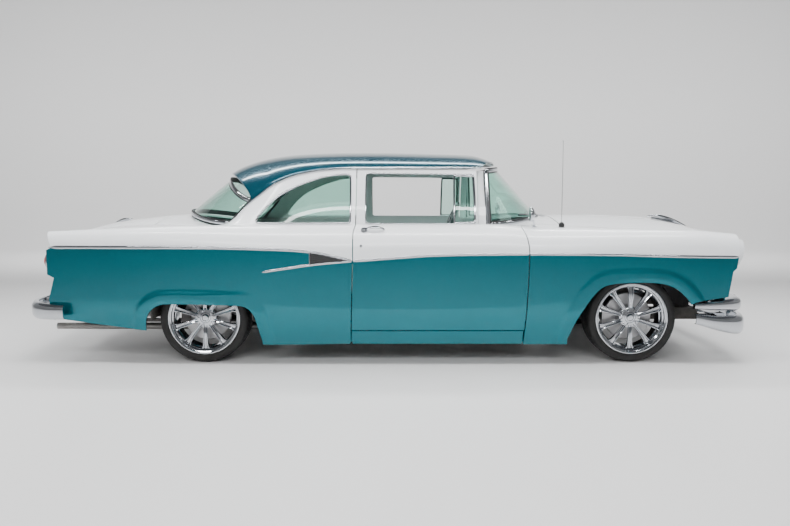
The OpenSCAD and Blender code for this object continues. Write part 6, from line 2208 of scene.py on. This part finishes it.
@dataclass
class Studio:
    """Pale floor that curves up into a backdrop, soft lights and the camera."""

    eye: tuple = (0.05, -5.93, 1.184)
    pitch: float = 5.56
    lens: float = 34.2

    def build(self) -> None:
        """Makes the floor, the lights, the world and the camera."""
        self.floor()
        self.lights()
        self.world()
        data = bpy.data.cameras.new("studio_camera")
        data.lens, data.sensor_width, data.clip_end = self.lens, 36.0, 100.0
        camera = bpy.data.objects.new("studio_camera", data)
        camera.location = self.eye
        camera.rotation_euler = (math.radians(90 - self.pitch), 0, 0)
        bpy.context.scene.collection.objects.link(camera)
        bpy.context.scene.camera = camera

    def floor(self) -> None:
        """Round floor that curves up into a wall on every side, turned from one profile."""
        profile = [(0, 0), (9000, 0), *through(
            [(9800, 0), (12500, 120), (14200, 900), (15000, 2600), (15200, 9200)], 28
        ).tolist(), (15400, 9200), (15400, -40), (0, -40)]
        obj = make_mesh("studio_cove", lathe(profile, (0, 0, 0), "z", 128))
        obj.data.shade_smooth()
        obj.data.set_sharp_from_angle(angle=math.radians(30))
        material, _, shader, _ = start_material("studio_floor", "underbody_paint")
        shader.inputs["Base Color"].default_value = (0.66, 0.66, 0.66, 1)
        shader.inputs["Roughness"].default_value = 0.38
        obj.data.materials.append(material)

    def lights(self) -> None:
        """Long strips that show in the paint, and soft fills that light it without being seen."""
        specs = [
            ("strip_near", (0.2, -1.5, 3.7), (20, 0, 0), (6.5, 0.16), 150, True),
            ("strip_far", (0.2, 1.1, 3.7), (-15, 0, 0), (6.5, 0.16), 150, True),
            ("strip_side", (-0.4, -5.2, 3.4), (52, 0, 0), (6.0, 0.2), 110, True),
            ("overhead", (0.0, 0.0, 5.6), (0, 0, 0), (9.0, 6.0), 520, False),
            ("front_soft", (-0.6, -7.0, 3.6), (62, 0, -6), (7.0, 2.4), 260, False),
            ("back_wall", (0.0, 6.0, 4.4), (62, 0, 0), (14.0, 3.0), 1500, False),
            ("nose_end", (6.5, -1.4, 2.6), (0, 68, 0), (1.6, 3.6), 120, False),
            ("tail_end", (-6.5, -1.4, 2.6), (0, -68, 0), (1.6, 3.6), 120, False),
        ]
        for name, place, turn, size, power, seen in specs:
            data = bpy.data.lights.new(name, "AREA")
            data.shape, data.size, data.size_y, data.energy = "RECTANGLE", size[0], size[1], power
            light = bpy.data.objects.new(name, data)
            light.location = place
            light.rotation_euler = tuple(math.radians(v) for v in turn)
            light.visible_glossy = seen
            bpy.context.scene.collection.objects.link(light)

    def world(self) -> None:
        """Grey surroundings that darken overhead, as under a high, unlit ceiling."""
        world = bpy.data.worlds.new("studio")
        bpy.context.scene.world = world
        world.use_nodes = True
        nodes = Nodes(world.node_tree)
        back = world.node_tree.nodes.get("Background") or nodes.add("ShaderNodeBackground")
        coords = nodes.add("ShaderNodeTexCoord")
        parts = nodes.add("ShaderNodeSeparateXYZ")
        nodes.feed(parts.inputs[0], coords.outputs["Generated"])
        shade = nodes.ramp(parts.outputs["Z"], -0.1, 0.9)
        nodes.feed(back.inputs["Color"], nodes.mix(shade, (0.34, 0.35, 0.36, 1), (0.10, 0.105, 0.115, 1)))
        back.inputs["Strength"].default_value = 0.8


def main() -> None:
    """Builds the whole look."""
    logging.basicConfig(level=logging.INFO, format="%(name)s %(message)s")
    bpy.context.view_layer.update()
    finishes = Finishes()
    body = BodyShape()
    panels = SidePanels(body, finishes)
    house = Glasshouse(body, finishes)
    lids = Lids(body, finishes, house)
    trim = Brightwork(body, finishes)
    cabin = Cabin(finishes)
    panels.front_fenders()
    panels.quarters()
    panels.doors()
    panels.rockers()
    house.roof()
    house.windshield()
    house.wipers()
    house.backlight()
    house.side_glass(panels)
    lids.hood()
    lids.trunk()
    lids.rear_deck()
    lids.cowl()
    lids.nose()
    lids.tail()
    trim.side_mouldings()
    trim.door_handles()
    trim.mirrors()
    trim.bumpers()
    trim.pods()
    trim.grille()
    trim.headlights()
    trim.taillights()
    trim.antenna()
    cabin.dashboard()
    cabin.steering()
    cabin.seats()
    for side in Side:
        Wheel(finishes, f"wheel_front_{side.word}", body.front_axle, 735.0, side).build()
        Wheel(finishes, f"wheel_rear_{side.word}", body.rear_axle, 743.0, side).build()
    FrameFinishes(finishes).apply()
    Studio().build()


if __name__ == "__main__":
    main()
